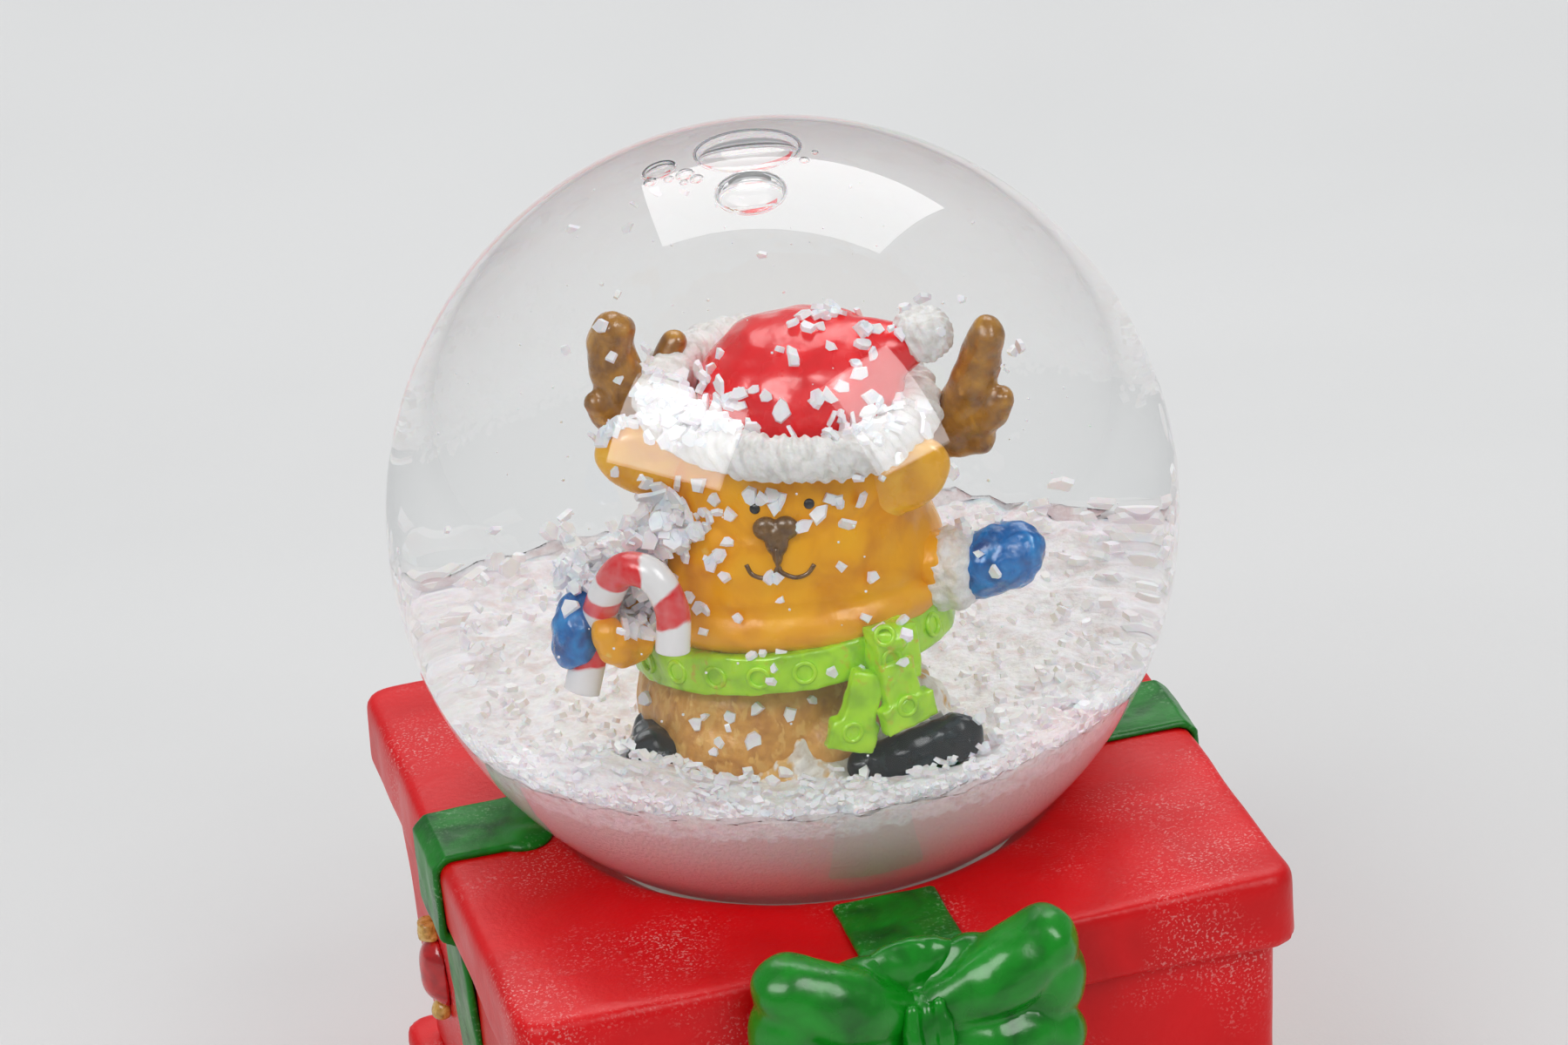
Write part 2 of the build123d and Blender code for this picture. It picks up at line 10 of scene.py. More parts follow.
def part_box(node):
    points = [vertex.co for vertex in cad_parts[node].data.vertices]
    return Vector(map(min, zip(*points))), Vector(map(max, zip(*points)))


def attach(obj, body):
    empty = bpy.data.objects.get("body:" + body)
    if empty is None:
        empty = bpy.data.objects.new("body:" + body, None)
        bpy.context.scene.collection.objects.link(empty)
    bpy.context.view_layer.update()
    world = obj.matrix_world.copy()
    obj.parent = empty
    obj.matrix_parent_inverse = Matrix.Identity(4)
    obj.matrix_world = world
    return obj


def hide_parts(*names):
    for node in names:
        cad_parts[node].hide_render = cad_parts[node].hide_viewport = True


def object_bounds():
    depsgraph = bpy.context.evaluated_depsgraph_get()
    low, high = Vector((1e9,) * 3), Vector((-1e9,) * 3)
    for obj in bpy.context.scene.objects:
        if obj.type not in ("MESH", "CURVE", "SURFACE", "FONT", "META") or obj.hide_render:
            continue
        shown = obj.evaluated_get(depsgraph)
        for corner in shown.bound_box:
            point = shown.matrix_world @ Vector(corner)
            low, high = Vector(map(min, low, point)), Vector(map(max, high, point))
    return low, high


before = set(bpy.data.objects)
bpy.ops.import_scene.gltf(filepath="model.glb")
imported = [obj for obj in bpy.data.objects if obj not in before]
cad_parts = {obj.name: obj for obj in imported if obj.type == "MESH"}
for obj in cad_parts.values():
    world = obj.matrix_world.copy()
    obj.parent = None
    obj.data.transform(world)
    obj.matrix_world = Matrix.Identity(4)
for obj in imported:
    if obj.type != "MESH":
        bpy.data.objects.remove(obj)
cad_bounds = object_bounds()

# The snow globe's looks. Forms are sculpted in millimetres, and to_piece makes them metres.
MM = 0.001
FULL_TURN = 2 * math.pi
chance = random.Random(611)


# ---- places, all from the CAD frame ------------------------------------------------
def low(node):
    return Vector(tuple(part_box(node)[0])) / MM


def high(node):
    return Vector(tuple(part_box(node)[1])) / MM


def middle(node):
    return (low(node) + high(node)) / 2


def around(count):
    """Evenly spaced angles, once round."""
    return [FULL_TURN * k / count for k in range(count)]


def polar(radius, angle, height=0.0):
    return Vector((radius * math.cos(angle), radius * math.sin(angle), height))


def lean_to(direction):
    """The turn that takes z to a direction."""
    return direction.to_track_quat("Z", "Y").to_matrix()


GLASS_WALL = 1.2
BELLY_SUNK = 0.2
FIGURE_TURN = math.radians(-20)
BELLY_ASIDE = Vector((-1.0, 0, 0))
BALL_RADIUS = (high("glass_ball").x - low("glass_ball").x) / 2
BALL_CENTRE = Vector((0, 0, high("glass_ball").z - BALL_RADIUS))
WATER_RADIUS = BALL_RADIUS - GLASS_WALL
STOPPER_TOP = high("rubber_stopper").z
# The figure's own frame: x to the right as seen from the front, y toward its back, z up.
BELLY_SPOT = middle("reindeer_belly")
BELLY_SPOT.z = low("reindeer_belly").z + BELLY_SUNK
FIGURE_ROTATION = Matrix.Rotation(FIGURE_TURN, 4, "Z")
FIGURE = Matrix.Translation(BELLY_SPOT - FIGURE_ROTATION @ BELLY_ASIDE) @ FIGURE_ROTATION


# ---- materials --------------------------------------------------------------------
def ramp(tree, source, stops):
    """A colour ramp on a factor, from (position, colour) pairs."""
    node = tree.nodes.new("ShaderNodeValToRGB")
    elements = node.color_ramp.elements
    while len(elements) < len(stops):
        elements.new(0.5)
    for element, (position, colour) in zip(elements, stops):
        element.position = position
        element.color = (*colour, 1)
    tree.links.new(source, node.inputs["Fac"])
    return node.outputs["Color"]


def fade(tree, source, start, end, bottom=0.0, top=1.0):
    """A factor that runs from bottom to top while the source runs from start to end."""
    return ramp(tree, source, ((start, (bottom,) * 3), (end, (top,) * 3)))


def grain(tree, size, detail=3.0, distortion=0.0, stretch=(1, 1, 1)):
    """Noise whose features are about size millimetres across."""
    coordinates = tree.nodes.new("ShaderNodeTexCoord")
    mapping = tree.nodes.new("ShaderNodeMapping")
    mapping.inputs["Scale"].default_value = stretch
    texture = tree.nodes.new("ShaderNodeTexNoise")
    texture.inputs["Scale"].default_value = 1 / (size * MM)
    texture.inputs["Detail"].default_value = detail
    texture.inputs["Distortion"].default_value = distortion
    tree.links.new(coordinates.outputs["Object"], mapping.inputs["Vector"])
    tree.links.new(mapping.outputs["Vector"], texture.inputs["Vector"])
    return texture.outputs["Fac"]


def blend_colour(tree, factor, under, over):
    node = tree.nodes.new("ShaderNodeMix")
    node.data_type = "RGBA"
    tree.links.new(factor, node.inputs["Factor"])
    tree.links.new(under, node.inputs[6])
    if isinstance(over, tuple):
        node.inputs[7].default_value = (*over, 1)
    else:
        tree.links.new(over, node.inputs[7])
    return node.outputs[2]


def combine(tree, operation, *sources):
    """A Math node over sockets and plain numbers."""
    node = tree.nodes.new("ShaderNodeMath")
    node.operation = operation
    for socket, source in zip(node.inputs, sources):
        if isinstance(source, float):
            socket.default_value = source
        else:
            tree.links.new(source, socket)
    return node.outputs[0]


def open_by(material, factor):
    """Let light straight through the material's surface, by a factor."""
    tree = material.node_tree
    opening = tree.nodes.new("ShaderNodeBsdfTransparent")
    mix = tree.nodes.new("ShaderNodeMixShader")
    tree.links.new(factor, mix.inputs["Fac"])
    tree.links.new(tree.nodes["Principled BSDF"].outputs["BSDF"], mix.inputs[1])
    tree.links.new(opening.outputs["BSDF"], mix.inputs[2])
    tree.links.new(mix.outputs["Shader"], tree.nodes["Material Output"].inputs["Surface"])


def paint(name, dark, colour, light, patch=1.6, rough=0.35, fine=0.22, depth=0.02, coat=0.0, soft=0.0,
          specks=None, edge=None, strokes=None, attribute=None, shine=0.5):
    """Hand-brushed paint on cast resin: uneven tone, fine relief, uneven gloss.

    Sizes are in millimetres. dark, colour and light are the tone's patches. specks = (colour, size,
    patch size), edge = colour laid on the sharp edges, partly worn paint and partly a painted highlight,
    strokes = (colour, size, stretch), attribute = a mesh colour that takes the tone's place."""
    material = bpy.data.materials.new(name)
    material.use_nodes = True
    tree = material.node_tree
    shader = tree.nodes["Principled BSDF"]
    tone = ramp(tree, grain(tree, patch, 4, 0.6), ((0.3, dark), (0.52, colour), (0.75, light)))
    if attribute:
        drawn = tree.nodes.new("ShaderNodeAttribute")
        drawn.attribute_name = attribute
        mottle = fade(tree, grain(tree, patch, 4), 0.3, 0.8, top=0.22)
        tone = blend_colour(tree, mottle, drawn.outputs["Color"], tone)
    if strokes:
        stroke_colour, size, stretch = strokes
        brushed = fade(tree, grain(tree, size, 3, 0.4, stretch), 0.54, 0.62)
        tone = blend_colour(tree, brushed, tone, stroke_colour)
    if edge:
        # Sharp edges turn toward the edge colour: partly worn paint, partly a painted highlight along the
        # edges.
        shape = tree.nodes.new("ShaderNodeNewGeometry")
        edge_wear_and_highlight = fade(tree, shape.outputs["Pointiness"], 0.53, 0.6)
        broken = fade(tree, grain(tree, 0.8, 4), 0.48, 0.66, top=0.8)
        tone = blend_colour(tree, combine(tree, "MULTIPLY", edge_wear_and_highlight, broken), tone, edge)
    if specks:
        speck_colour, size, spread = specks
        points = fade(tree, grain(tree, size, 2), 0.56, 0.66)
        where = fade(tree, grain(tree, spread, 3), 0.47, 0.68, top=0.6)
        tone = blend_colour(tree, combine(tree, "MULTIPLY", points, where), tone, speck_colour)
    tree.links.new(tone, shader.inputs["Base Color"])
    gloss = fade(tree, grain(tree, patch * 0.7, 3), 0.3, 0.75, rough * 0.8, rough * 1.25)
    tree.links.new(gloss, shader.inputs["Roughness"])
    bump = tree.nodes.new("ShaderNodeBump")
    bump.inputs["Distance"].default_value = depth * MM
    tree.links.new(grain(tree, fine, 4), bump.inputs["Height"])
    tree.links.new(bump.outputs["Normal"], shader.inputs["Normal"])
    shader.inputs["Specular IOR Level"].default_value = shine
    shader.inputs["Coat Weight"].default_value = coat
    shader.inputs["Coat Roughness"].default_value = 0.12
    shader.inputs["Subsurface Weight"].default_value = soft
    shader.inputs["Subsurface Scale"].default_value = 0.4 * MM
    return material


def tint_below(material, colour, height, blur=0.5):
    """Turn a material toward a colour below a height in millimetres, with a ragged border."""
    tree = material.node_tree
    shader = tree.nodes["Principled BSDF"]
    coordinates = tree.nodes.new("ShaderNodeTexCoord")
    split = tree.nodes.new("ShaderNodeSeparateXYZ")
    tree.links.new(coordinates.outputs["Object"], split.inputs["Vector"])
    level = tree.nodes.new("ShaderNodeMapRange")
    level.inputs["From Min"].default_value = (height + blur) * MM
    level.inputs["From Max"].default_value = (height - blur) * MM
    tree.links.new(split.outputs["Z"], level.inputs["Value"])
    ragged = combine(tree, "MULTIPLY_ADD", grain(tree, 0.7, 4), 1.4, level.outputs["Result"])
    share = fade(tree, ragged, 0.75, 1.0)
    tone = shader.inputs["Base Color"].links[0].from_socket
    tree.links.new(blend_colour(tree, share, tone, colour), shader.inputs["Base Color"])


def let_light_through(material, share):
    """A thin see-through chip: part of each lamp's light passes it."""
    tree = material.node_tree
    path = tree.nodes.new("ShaderNodeLightPath")
    open_by(material, combine(tree, "MULTIPLY", path.outputs["Is Shadow Ray"], share))


def clear(name, ior, tint=(1, 1, 1)):
    """Glass or liquid. Shadow and bounce rays pass straight through, so the light gets in."""
    material = bpy.data.materials.new(name)
    material.use_nodes = True
    tree = material.node_tree
    shader = tree.nodes["Principled BSDF"]
    shader.inputs["Base Color"].default_value = (*tint, 1)
    shader.inputs["Transmission Weight"].default_value = 1.0
    shader.inputs["IOR"].default_value = ior
    shader.inputs["Roughness"].default_value = 0.0
    path = tree.nodes.new("ShaderNodeLightPath")
    passing = combine(tree, "MAXIMUM", path.outputs["Is Shadow Ray"], path.outputs["Is Diffuse Ray"])
    open_by(material, passing)
    return material


WATER_IOR = 1.333
GLASS_IOR = 1.5
FLAKE_OPENNESS = 0.65
# Each edge colour below is a lighter tone of its paint on the sharp edges: partly wear, partly a painted
# highlight.
box_red = paint("box_red_paint", (0.68, 0.0, 0.002), (0.78, 0.0, 0.003), (0.86, 0.002, 0.006),
                patch=7, rough=0.38, fine=0.35, depth=0.03, specks=((0.95, 0.5, 0.47), 0.17, 8.0),
                edge=(0.95, 0.16, 0.16), shine=0.3)
ribbon_green = paint("ribbon_green_paint", (0.0, 0.08, 0.004), (0.001, 0.2, 0.006), (0.004, 0.28, 0.012),
                     patch=2.6, rough=0.36, fine=0.5, depth=0.03, shine=0.35,
                     specks=((0.3, 0.6, 0.3), 0.2, 4.0))
bow_green = paint("bow_green_paint", (0.0, 0.13, 0.003), (0.001, 0.26, 0.006), (0.004, 0.34, 0.012),
                  patch=3.0, rough=0.26, fine=0.7, depth=0.03, coat=0.25, shine=0.4)
ornament_red = paint("ornament_red_paint", (0.4, 0.0, 0.002), (0.6, 0.004, 0.006), (0.72, 0.02, 0.02),
                     patch=1.2, rough=0.22, fine=0.5, coat=0.5)
gold_paint = paint("gold_paint", (0.35, 0.17, 0.02), (0.75, 0.45, 0.09), (0.95, 0.72, 0.3),
                   patch=0.5, rough=0.25, fine=0.3, coat=0.3)
coat_ochre = paint("coat_ochre_paint", (0.8, 0.3, 0.0), (0.96, 0.42, 0.001), (1.0, 0.49, 0.006),
                   patch=2.2, rough=0.32, fine=0.3, depth=0.02, coat=0.05, shine=0.35,
                   edge=(0.95, 0.62, 0.12))
belly_ochre = paint("belly_ochre_paint", (0.55, 0.23, 0.03), (0.74, 0.36, 0.06), (0.85, 0.48, 0.12),
                    patch=0.9, rough=0.42, fine=0.25, depth=0.05, coat=0.1,
                    strokes=((0.82, 0.48, 0.12), 0.4, (1, 1, 0.5)))
ear_ochre = paint("ear_ochre_paint", (0.8, 0.34, 0.004), (0.95, 0.46, 0.01), (1.0, 0.56, 0.03),
                  patch=1.6, rough=0.28, fine=0.3, coat=0.4)
antler_brown = paint("antler_brown_paint", (0.2, 0.075, 0.006), (0.38, 0.16, 0.012), (0.62, 0.3, 0.03),
                     patch=1.0, rough=0.28, fine=0.3, depth=0.03, coat=0.4, edge=(0.7, 0.36, 0.06))
nose_brown = paint("nose_brown_paint", (0.11, 0.05, 0.012), (0.17, 0.085, 0.022), (0.24, 0.12, 0.03),
                   patch=0.6, rough=0.3, fine=0.3, coat=0.3)
hat_red = paint("hat_red_paint", (0.75, 0.0, 0.002), (0.92, 0.0, 0.005), (0.98, 0.01, 0.012),
                patch=2.4, rough=0.26, fine=0.6, depth=0.03, coat=0.5)
fur_white = paint("fur_white_paint", (0.7, 0.67, 0.62), (0.86, 0.84, 0.81), (0.93, 0.92, 0.9),
                  patch=0.5, rough=0.5, fine=0.12, depth=0.05, soft=0.2)
mound_white = paint("mound_white_paint", (0.6, 0.5, 0.38), (0.84, 0.8, 0.72), (0.92, 0.9, 0.86),
                    patch=0.8, rough=0.5, fine=0.2, depth=0.06,
                    strokes=((0.72, 0.42, 0.1), 0.9, (1, 1, 0.5)))
eye_black = paint("eye_black_paint", (0.004, 0.004, 0.005), (0.008, 0.008, 0.01), (0.02, 0.02, 0.02),
                  patch=0.3, rough=0.15, fine=0.3, depth=0.005, coat=0.6)
scarf_lime = paint("scarf_lime_paint", (0.28, 0.58, 0.002), (0.42, 0.82, 0.003), (0.54, 0.92, 0.012),
                   patch=1.1, rough=0.32, fine=0.3, depth=0.02, coat=0.3,
                   specks=((0.75, 0.42, 0.03), 0.5, 2.2))
mitten_blue = paint("mitten_blue_paint", (0.0, 0.06, 0.26), (0.0, 0.16, 0.5), (0.01, 0.32, 0.75),
                    patch=0.8, rough=0.25, fine=0.35, depth=0.04, coat=0.2, edge=(0.08, 0.36, 0.78))
cane_paint = paint("cane_paint", (0.8, 0.7, 0.68), (0.9, 0.86, 0.84), (0.95, 0.92, 0.9),
                   patch=0.7, rough=0.22, fine=0.4, depth=0.01, coat=0.2, attribute="stripe")
boot_black = paint("boot_black_paint", (0.001, 0.003, 0.004), (0.002, 0.008, 0.01), (0.01, 0.03, 0.035),
                   patch=0.9, rough=0.2, fine=0.4, depth=0.02, shine=0.3)
snow_powder = paint("snow_powder", (0.84, 0.8, 0.82), (0.93, 0.9, 0.92), (0.98, 0.96, 0.98),
                    patch=0.35, rough=0.7, fine=0.25, depth=0.1, soft=0.35)
flake_white = paint("flake_white", (0.88, 0.82, 0.87), (0.96, 0.93, 0.95), (1.0, 0.99, 1.0),
                    patch=0.6, rough=0.45, fine=0.3, depth=0.02, soft=0.4)
rubber = paint("stopper_rubber", (0.6, 0.58, 0.54), (0.7, 0.69, 0.65), (0.76, 0.75, 0.71),
               patch=3, rough=0.6)
glue = paint("cloudy_glue", (0.66, 0.63, 0.55), (0.75, 0.72, 0.64), (0.82, 0.8, 0.74),
             patch=2, rough=0.3)
floor_pale = paint("floor_pale", (0.74, 0.74, 0.73), (0.78, 0.78, 0.77), (0.8, 0.8, 0.79),
                   patch=120, rough=0.6)
# Painted reflection: the snow below the figure's feet turns pink, standing for the red box seen through the
# bottom of the glass.
tint_below(snow_powder, (0.8, 0.68, 0.68), low("reindeer_belly").z - 0.7, 0.7)
let_light_through(flake_white, FLAKE_OPENNESS)
glass = clear("ball_glass", GLASS_IOR, (0.985, 0.995, 0.99))
water = clear("water", WATER_IOR / GLASS_IOR)
bubble_air = clear("bubble_air", 1 / WATER_IOR)


# ---- pieces -----------------------------------------------------------------------
def show(piece, material, slot, *nodes):
    """Give a finished piece its material and body, and hide the CAD nodes it stands for. The slot is not
    used.
    """
    piece.data.materials.clear()
    piece.data.materials.append(material)
    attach(piece, "root")
    if nodes:
        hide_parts(*nodes)
    return piece


def to_piece(name, mesh, smooth=True):
    """A mesh in millimetres becomes an object in metres."""
    mesh.transform(Matrix.Scale(MM, 4))
    mesh.polygons.foreach_set("use_smooth", [smooth] * len(mesh.polygons))
    mesh.update()
    piece = bpy.data.objects.new(name, mesh)
    bpy.context.scene.collection.objects.link(piece)
    return piece


def from_bmesh(name, form, smooth=True):
    bmesh.ops.recalc_face_normals(form, faces=form.faces)
    mesh = bpy.data.meshes.new(name)
    form.to_mesh(mesh)
    form.free()
    return to_piece(name, mesh, smooth)


def curve_through(points, step):
    """Closely spaced points on a smooth curve through a few points."""
    points = [Vector(p) for p in points]
    ends = [2 * points[0] - points[1]] + points + [2 * points[-1] - points[-2]]
    fine = []
    for a, b, c, d in zip(ends, ends[1:], ends[2:], ends[3:]):
        count = max(2, int((c - b).length / step))
        for i in range(count):
            t = i / count
            fine.append(0.5 * (2 * b + (c - a) * t + (2 * a - 5 * b + 4 * c - d) * t * t
                               + (3 * b - a - 3 * c + d) * t ** 3))
    fine.append(points[-1])
    return fine


class Clay:
    """Overlapping soft forms, in millimetres, that are fused into one smooth skin."""

    def __init__(self, place=Matrix()):
        self.form = bmesh.new()
        self.place = place

    def placed(self, centre, size, turn):
        turned = Euler([math.radians(a) for a in turn]).to_matrix().to_4x4()
        return self.place @ Matrix.Translation(centre) @ turned @ Matrix.Diagonal((*size, 1))

    def blob(self, centre, size, turn=(0, 0, 0)):
        """An ellipsoid, by its three radii or one, turned by degrees."""
        size = (size,) * 3 if isinstance(size, (int, float)) else size
        matrix = self.placed(centre, size, turn)
        bmesh.ops.create_icosphere(self.form, subdivisions=3, radius=1, matrix=matrix)
        return self

    def slab(self, centre, size, turn=(0, 0, 0)):
        """A block, by its three sides, turned by degrees."""
        bmesh.ops.create_cube(self.form, size=1, matrix=self.placed(centre, size, turn))
        return self

    def rope(self, points, radii):
        """A round branch through the points, its radius running through the radii."""
        line = curve_through(points, min(radii) * 0.35)
        for i, spot in enumerate(line):
            share = i / (len(line) - 1) * (len(radii) - 1)
            first = min(int(share), len(radii) - 2)
            radius = radii[first] + (radii[first + 1] - radii[first]) * (share - first)
            self.blob(spot, radius)
        return self

    def model(self, node):
        """The CAD node's own form."""
        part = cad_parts[node]
        copy = part.data.copy()
        copy.transform(Matrix.Scale(1 / MM, 4) @ part.matrix_world)
        self.form.from_mesh(copy)
        bpy.data.meshes.remove(copy)
        return self

    def fuse(self, name, voxel=0.18, smooth=6, relief=None):
        """One skin over all the forms. relief(point, normal) gives a rise in millimetres."""
        rough = bpy.data.meshes.new(name + "_rough")
        self.form.to_mesh(rough)
        self.form.free()
        holder = bpy.data.objects.new(name + "_rough", rough)
        bpy.context.scene.collection.objects.link(holder)
        remesh = holder.modifiers.new("fuse", "REMESH")
        remesh.mode = "VOXEL"
        remesh.voxel_size = voxel
        ease = holder.modifiers.new("ease", "SMOOTH")
        ease.iterations = smooth
        ease.factor = 0.5
        evaluated = holder.evaluated_get(bpy.context.evaluated_depsgraph_get())
        skin = bpy.data.meshes.new_from_object(evaluated)
        bpy.data.objects.remove(holder)
        bpy.data.meshes.remove(rough)
        skin.name = name
        if relief:
            inverse = self.place.inverted()
            turned = inverse.to_3x3()
            before = [(vertex.co.copy(), vertex.normal.copy()) for vertex in skin.vertices]
            for vertex, (spot, normal) in zip(skin.vertices, before):
                vertex.co = spot + normal * relief(inverse @ spot, turned @ normal)
        return to_piece(name, skin)


def wobble(size, height, seed=0.0):
    """Soft unevenness of a hand-made form."""
    offset = Vector((seed, seed * 0.7, -seed))
    return lambda spot, normal: height * noise.fractal((spot + offset) / size, 0.6, 2.0, 2)


def ring_faces(form, rings):
    """Join neighbouring rings of corners. A ring may be one corner repeated."""
    for here, there in zip(rings, rings[1:]):
        for k in range(len(here)):
            ahead = (k + 1) % len(here)
            form.faces.new(list(dict.fromkeys((here[k], here[ahead], there[ahead], there[k]))))


def tube(form, points, radius, sides, closed=False):
    """A thin round line through points, added to a bmesh. Returns its rings of corners."""
    rings = []
    count = len(points)
    side = None
    for i, spot in enumerate(points):
        ahead = points[(i + 1) % count] if closed or i < count - 1 else spot
        behind = points[i - 1] if closed or i > 0 else spot
        along = (ahead - behind).normalized()
        side = along.orthogonal() if side is None else side - along * side.dot(along)
        side.normalize()
        over = along.cross(side)
        rings.append([
            form.verts.new(spot + radius * (math.cos(a) * side + math.sin(a) * over))
            for a in around(sides)
        ])
    ring_faces(form, rings + rings[:1] if closed else rings)
    if not closed:
        form.faces.new(rings[0])
        form.faces.new(rings[-1])
    return rings


# ---- the gift box -----------------------------------------------------------------
def recast(node, name, material, slot, voxel, smooth, relief):
    """The CAD node's form again, softened like a resin casting."""
    show(Clay().model(node).fuse(name, voxel, smooth, relief), material, slot, node)


recast("box_lid", "lid", box_red, "box_red", 0.34, 5, wobble(9, 0.16))
recast("box_body", "body", box_red, "box_red", 0.4, 4, wobble(8, 0.16, 4))
recast("box_foot", "foot", box_red, "box_red", 0.4, 3, wobble(8, 0.1, 9))
for side in ("front", "right", "back"):
    recast("ribbon_" + side, "strip_" + side, ribbon_green, "ribbon_green", 0.17, 3, wobble(3, 0.08, 2))
# The left ribbon ends in an uneven lip of paint beside the ball.
lip = Vector((high("ribbon_left").x, middle("ribbon_left").y, high("ribbon_left").z))
left_ribbon = Clay().model("ribbon_left")
left_ribbon.blob(lip + Vector((-0.9, -1.9, -0.35)), (1.7, 1.5, 0.5))
left_ribbon.blob(lip + Vector((-0.2, 0.6, -0.45)), (1.0, 2.2, 0.45))
show(left_ribbon.fuse("strip_left", 0.17, 3, wobble(3, 0.08, 2)), ribbon_green, "ribbon_green", "ribbon_left")
recast("side_baubles", "baubles", ornament_red, "box_red", 0.14, 3, wobble(2, 0.08))
recast("bauble_caps", "gold_beads", gold_paint, "gold", 0.1, 2, wobble(1, 0.06))

# ---- the bow ----------------------------------------------------------------------
BOW = Matrix.Translation((middle("bow_knot").x, high("bow_knot").y, middle("bow_knot").z))


def bow_loop(name, side, top, reach):
    """A puffed loop with a deep crease that runs out of the knot."""
    loop = Clay(BOW)
    upper = ((side * 0.6, -1.6, 0.9), (side * 4.2, -2.2, top * 0.6), (side * reach, -1.9, top))
    lower = ((side * 0.6, -1.6, -0.7), (side * 4.4, -2.5, -1.3), (side * (reach + 0.2), -1.9, -1.9))
    loop.rope(upper, (1.5, 2.3, 2.1))
    loop.rope(lower, (1.3, 2.2, 2.1))
    loop.blob((side * (reach + 0.3), -1.8, top * 0.36), (2.1, 2.0, top * 0.72))
    loop.blob((side * (reach - 1.6), -1.7, top * 0.42), (3.2, 1.75, top * 0.72))
    loop.blob((side * 3.0, -1.0, 2.0), (3.0, 1.3, 2.6))
    return loop.fuse(name, 0.2, 10, wobble(3.4, 0.2, side * 3))


show(bow_loop("bow_left", -1, 4.0, 7.2), bow_green, "ribbon_green", "bow_loop_left")
show(bow_loop("bow_right", 1, 3.8, 7.1), bow_green, "ribbon_green", "bow_loop_right")
knot = Clay(BOW)
knot.blob((0, -2.0, 0), (1.6, 1.9, 2.4))
knot.rope(((-0.8, -3.3, 1.9), (-0.95, -3.8, 0), (-0.7, -3.3, -2.0)), (0.45, 0.6, 0.45))
knot.rope(((0.8, -3.3, 2.0), (0.9, -3.8, 0), (0.75, -3.3, -2.0)), (0.45, 0.6, 0.45))
knot.blob((0, -0.9, 2.9), (3.4, 1.0, 2.2))
show(knot.fuse("bow_middle", 0.16, 6, wobble(1.5, 0.12)), bow_green, "ribbon_green", "bow_knot")
for side, seed in (("left", 4), ("right", 5)):
    recast("bow_tail_" + side, "bow_end_" + side, bow_green, "ribbon_green", 0.2, 5, wobble(3, 0.35, seed))


# ---- the ball: glass, water, bubbles ------------------------------------------------
def lathe(name, profile, segments):
    """A closed form turned about the ball's axis, from (radius, height) pairs."""
    form = bmesh.new()
    rings = []
    for radius, height in profile:
        if radius == 0:
            rings.append([form.verts.new((0, 0, height))] * segments)
        else:
            rings.append([form.verts.new(polar(radius, angle, height)) for angle in around(segments)])
    ring_faces(form, rings)
    return from_bmesh(name, form)


def arc(radius, start, end, count):
    """(radius, height) pairs along the ball, by degrees up from its middle."""
    pairs = []
    for i in range(count + 1):
        degrees = start + (end - start) * i / count
        rise = math.radians(degrees)
        width = 0 if abs(degrees) == 90 else radius * math.cos(rise)
        pairs.append((width, BALL_CENTRE.z + radius * math.sin(rise)))
    return pairs


NECK_RADIUS = 11.0
NECK_BEVEL = 0.3
neck_angle = math.degrees(math.acos(NECK_RADIUS / BALL_RADIUS))
neck_end = low("glass_ball").z
glass_profile = arc(BALL_RADIUS, 90, -neck_angle, 110) + [(NECK_RADIUS, neck_end + NECK_BEVEL)]
glass_profile += [(NECK_RADIUS - NECK_BEVEL, neck_end), (0, neck_end)]
show(lathe("ball", glass_profile, 192), glass, "ball_glass", "glass_ball")
show(lathe("liquid", arc(WATER_RADIUS, 90, -90, 120), 176), water, "water", "water")


# Each bubble's x and y from the ball's axis, its width and its height.
BUBBLES = ((0.2, 1.4, 5.8, 1.7), (-0.9, -3.4, 3.9, 1.7), (-4.7, 1.7, 2.0, 1.2), (-3.7, -0.2, 1.1, 0.8),
           (-3.3, -1.2, 0.8, 0.6), (-5.5, 0.4, 0.8, 0.6), (-4.6, -0.2, 0.6, 0.5), (-4.0, -1.2, 0.5, 0.4),
           (2.6, -1.6, 0.6, 0.5), (3.4, -0.8, 0.4, 0.4))
BUBBLE_GAP = 0.14


def bubble(form, x, y, width, height):
    """A bubble pressed up against the inside of the ball."""
    roof = Vector((x, y, math.sqrt(WATER_RADIUS ** 2 - x * x - y * y)))
    spot = BALL_CENTRE + roof * (1 - (height * 0.5 + BUBBLE_GAP) / WATER_RADIUS)
    stretch = Matrix.Diagonal((width / 2, width / 2, height / 2, 1))
    matrix = Matrix.Translation(spot) @ lean_to(roof).to_4x4() @ stretch
    bmesh.ops.create_uvsphere(form, u_segments=40, v_segments=24, radius=1, matrix=matrix)


bubbles = bmesh.new()
for measures in BUBBLES:
    bubble(bubbles, *measures)
show(from_bmesh("bubbles", bubbles), bubble_air, "water")

# ---- the reindeer -------------------------------------------------------------------
figure_pieces = []


def of_figure(piece, material, slot, *nodes):
    figure_pieces.append(show(piece, material, slot, *nodes))


mound = Clay(FIGURE)
mound.blob((-0.3, -0.4, -1.2), (7.6, 7.2, 1.7))
mound.rope(((0, 0, -7.6), (0, 0, -1.5)), (6.6, 6.0))
of_figure(mound.fuse("mound", 0.25, 4, wobble(1.2, 0.4)), mound_white, "snow", "figure_mound")

belly = Clay(FIGURE)
belly.blob((-1.3, 0, 2.0), (5.7, 5.8, 4.2)).blob((-2.3, -2.8, 0.9), (3.6, 3.2, 2.2))
belly.blob((1.2, -1.5, 1.0), (3.0, 4.2, 2.4))


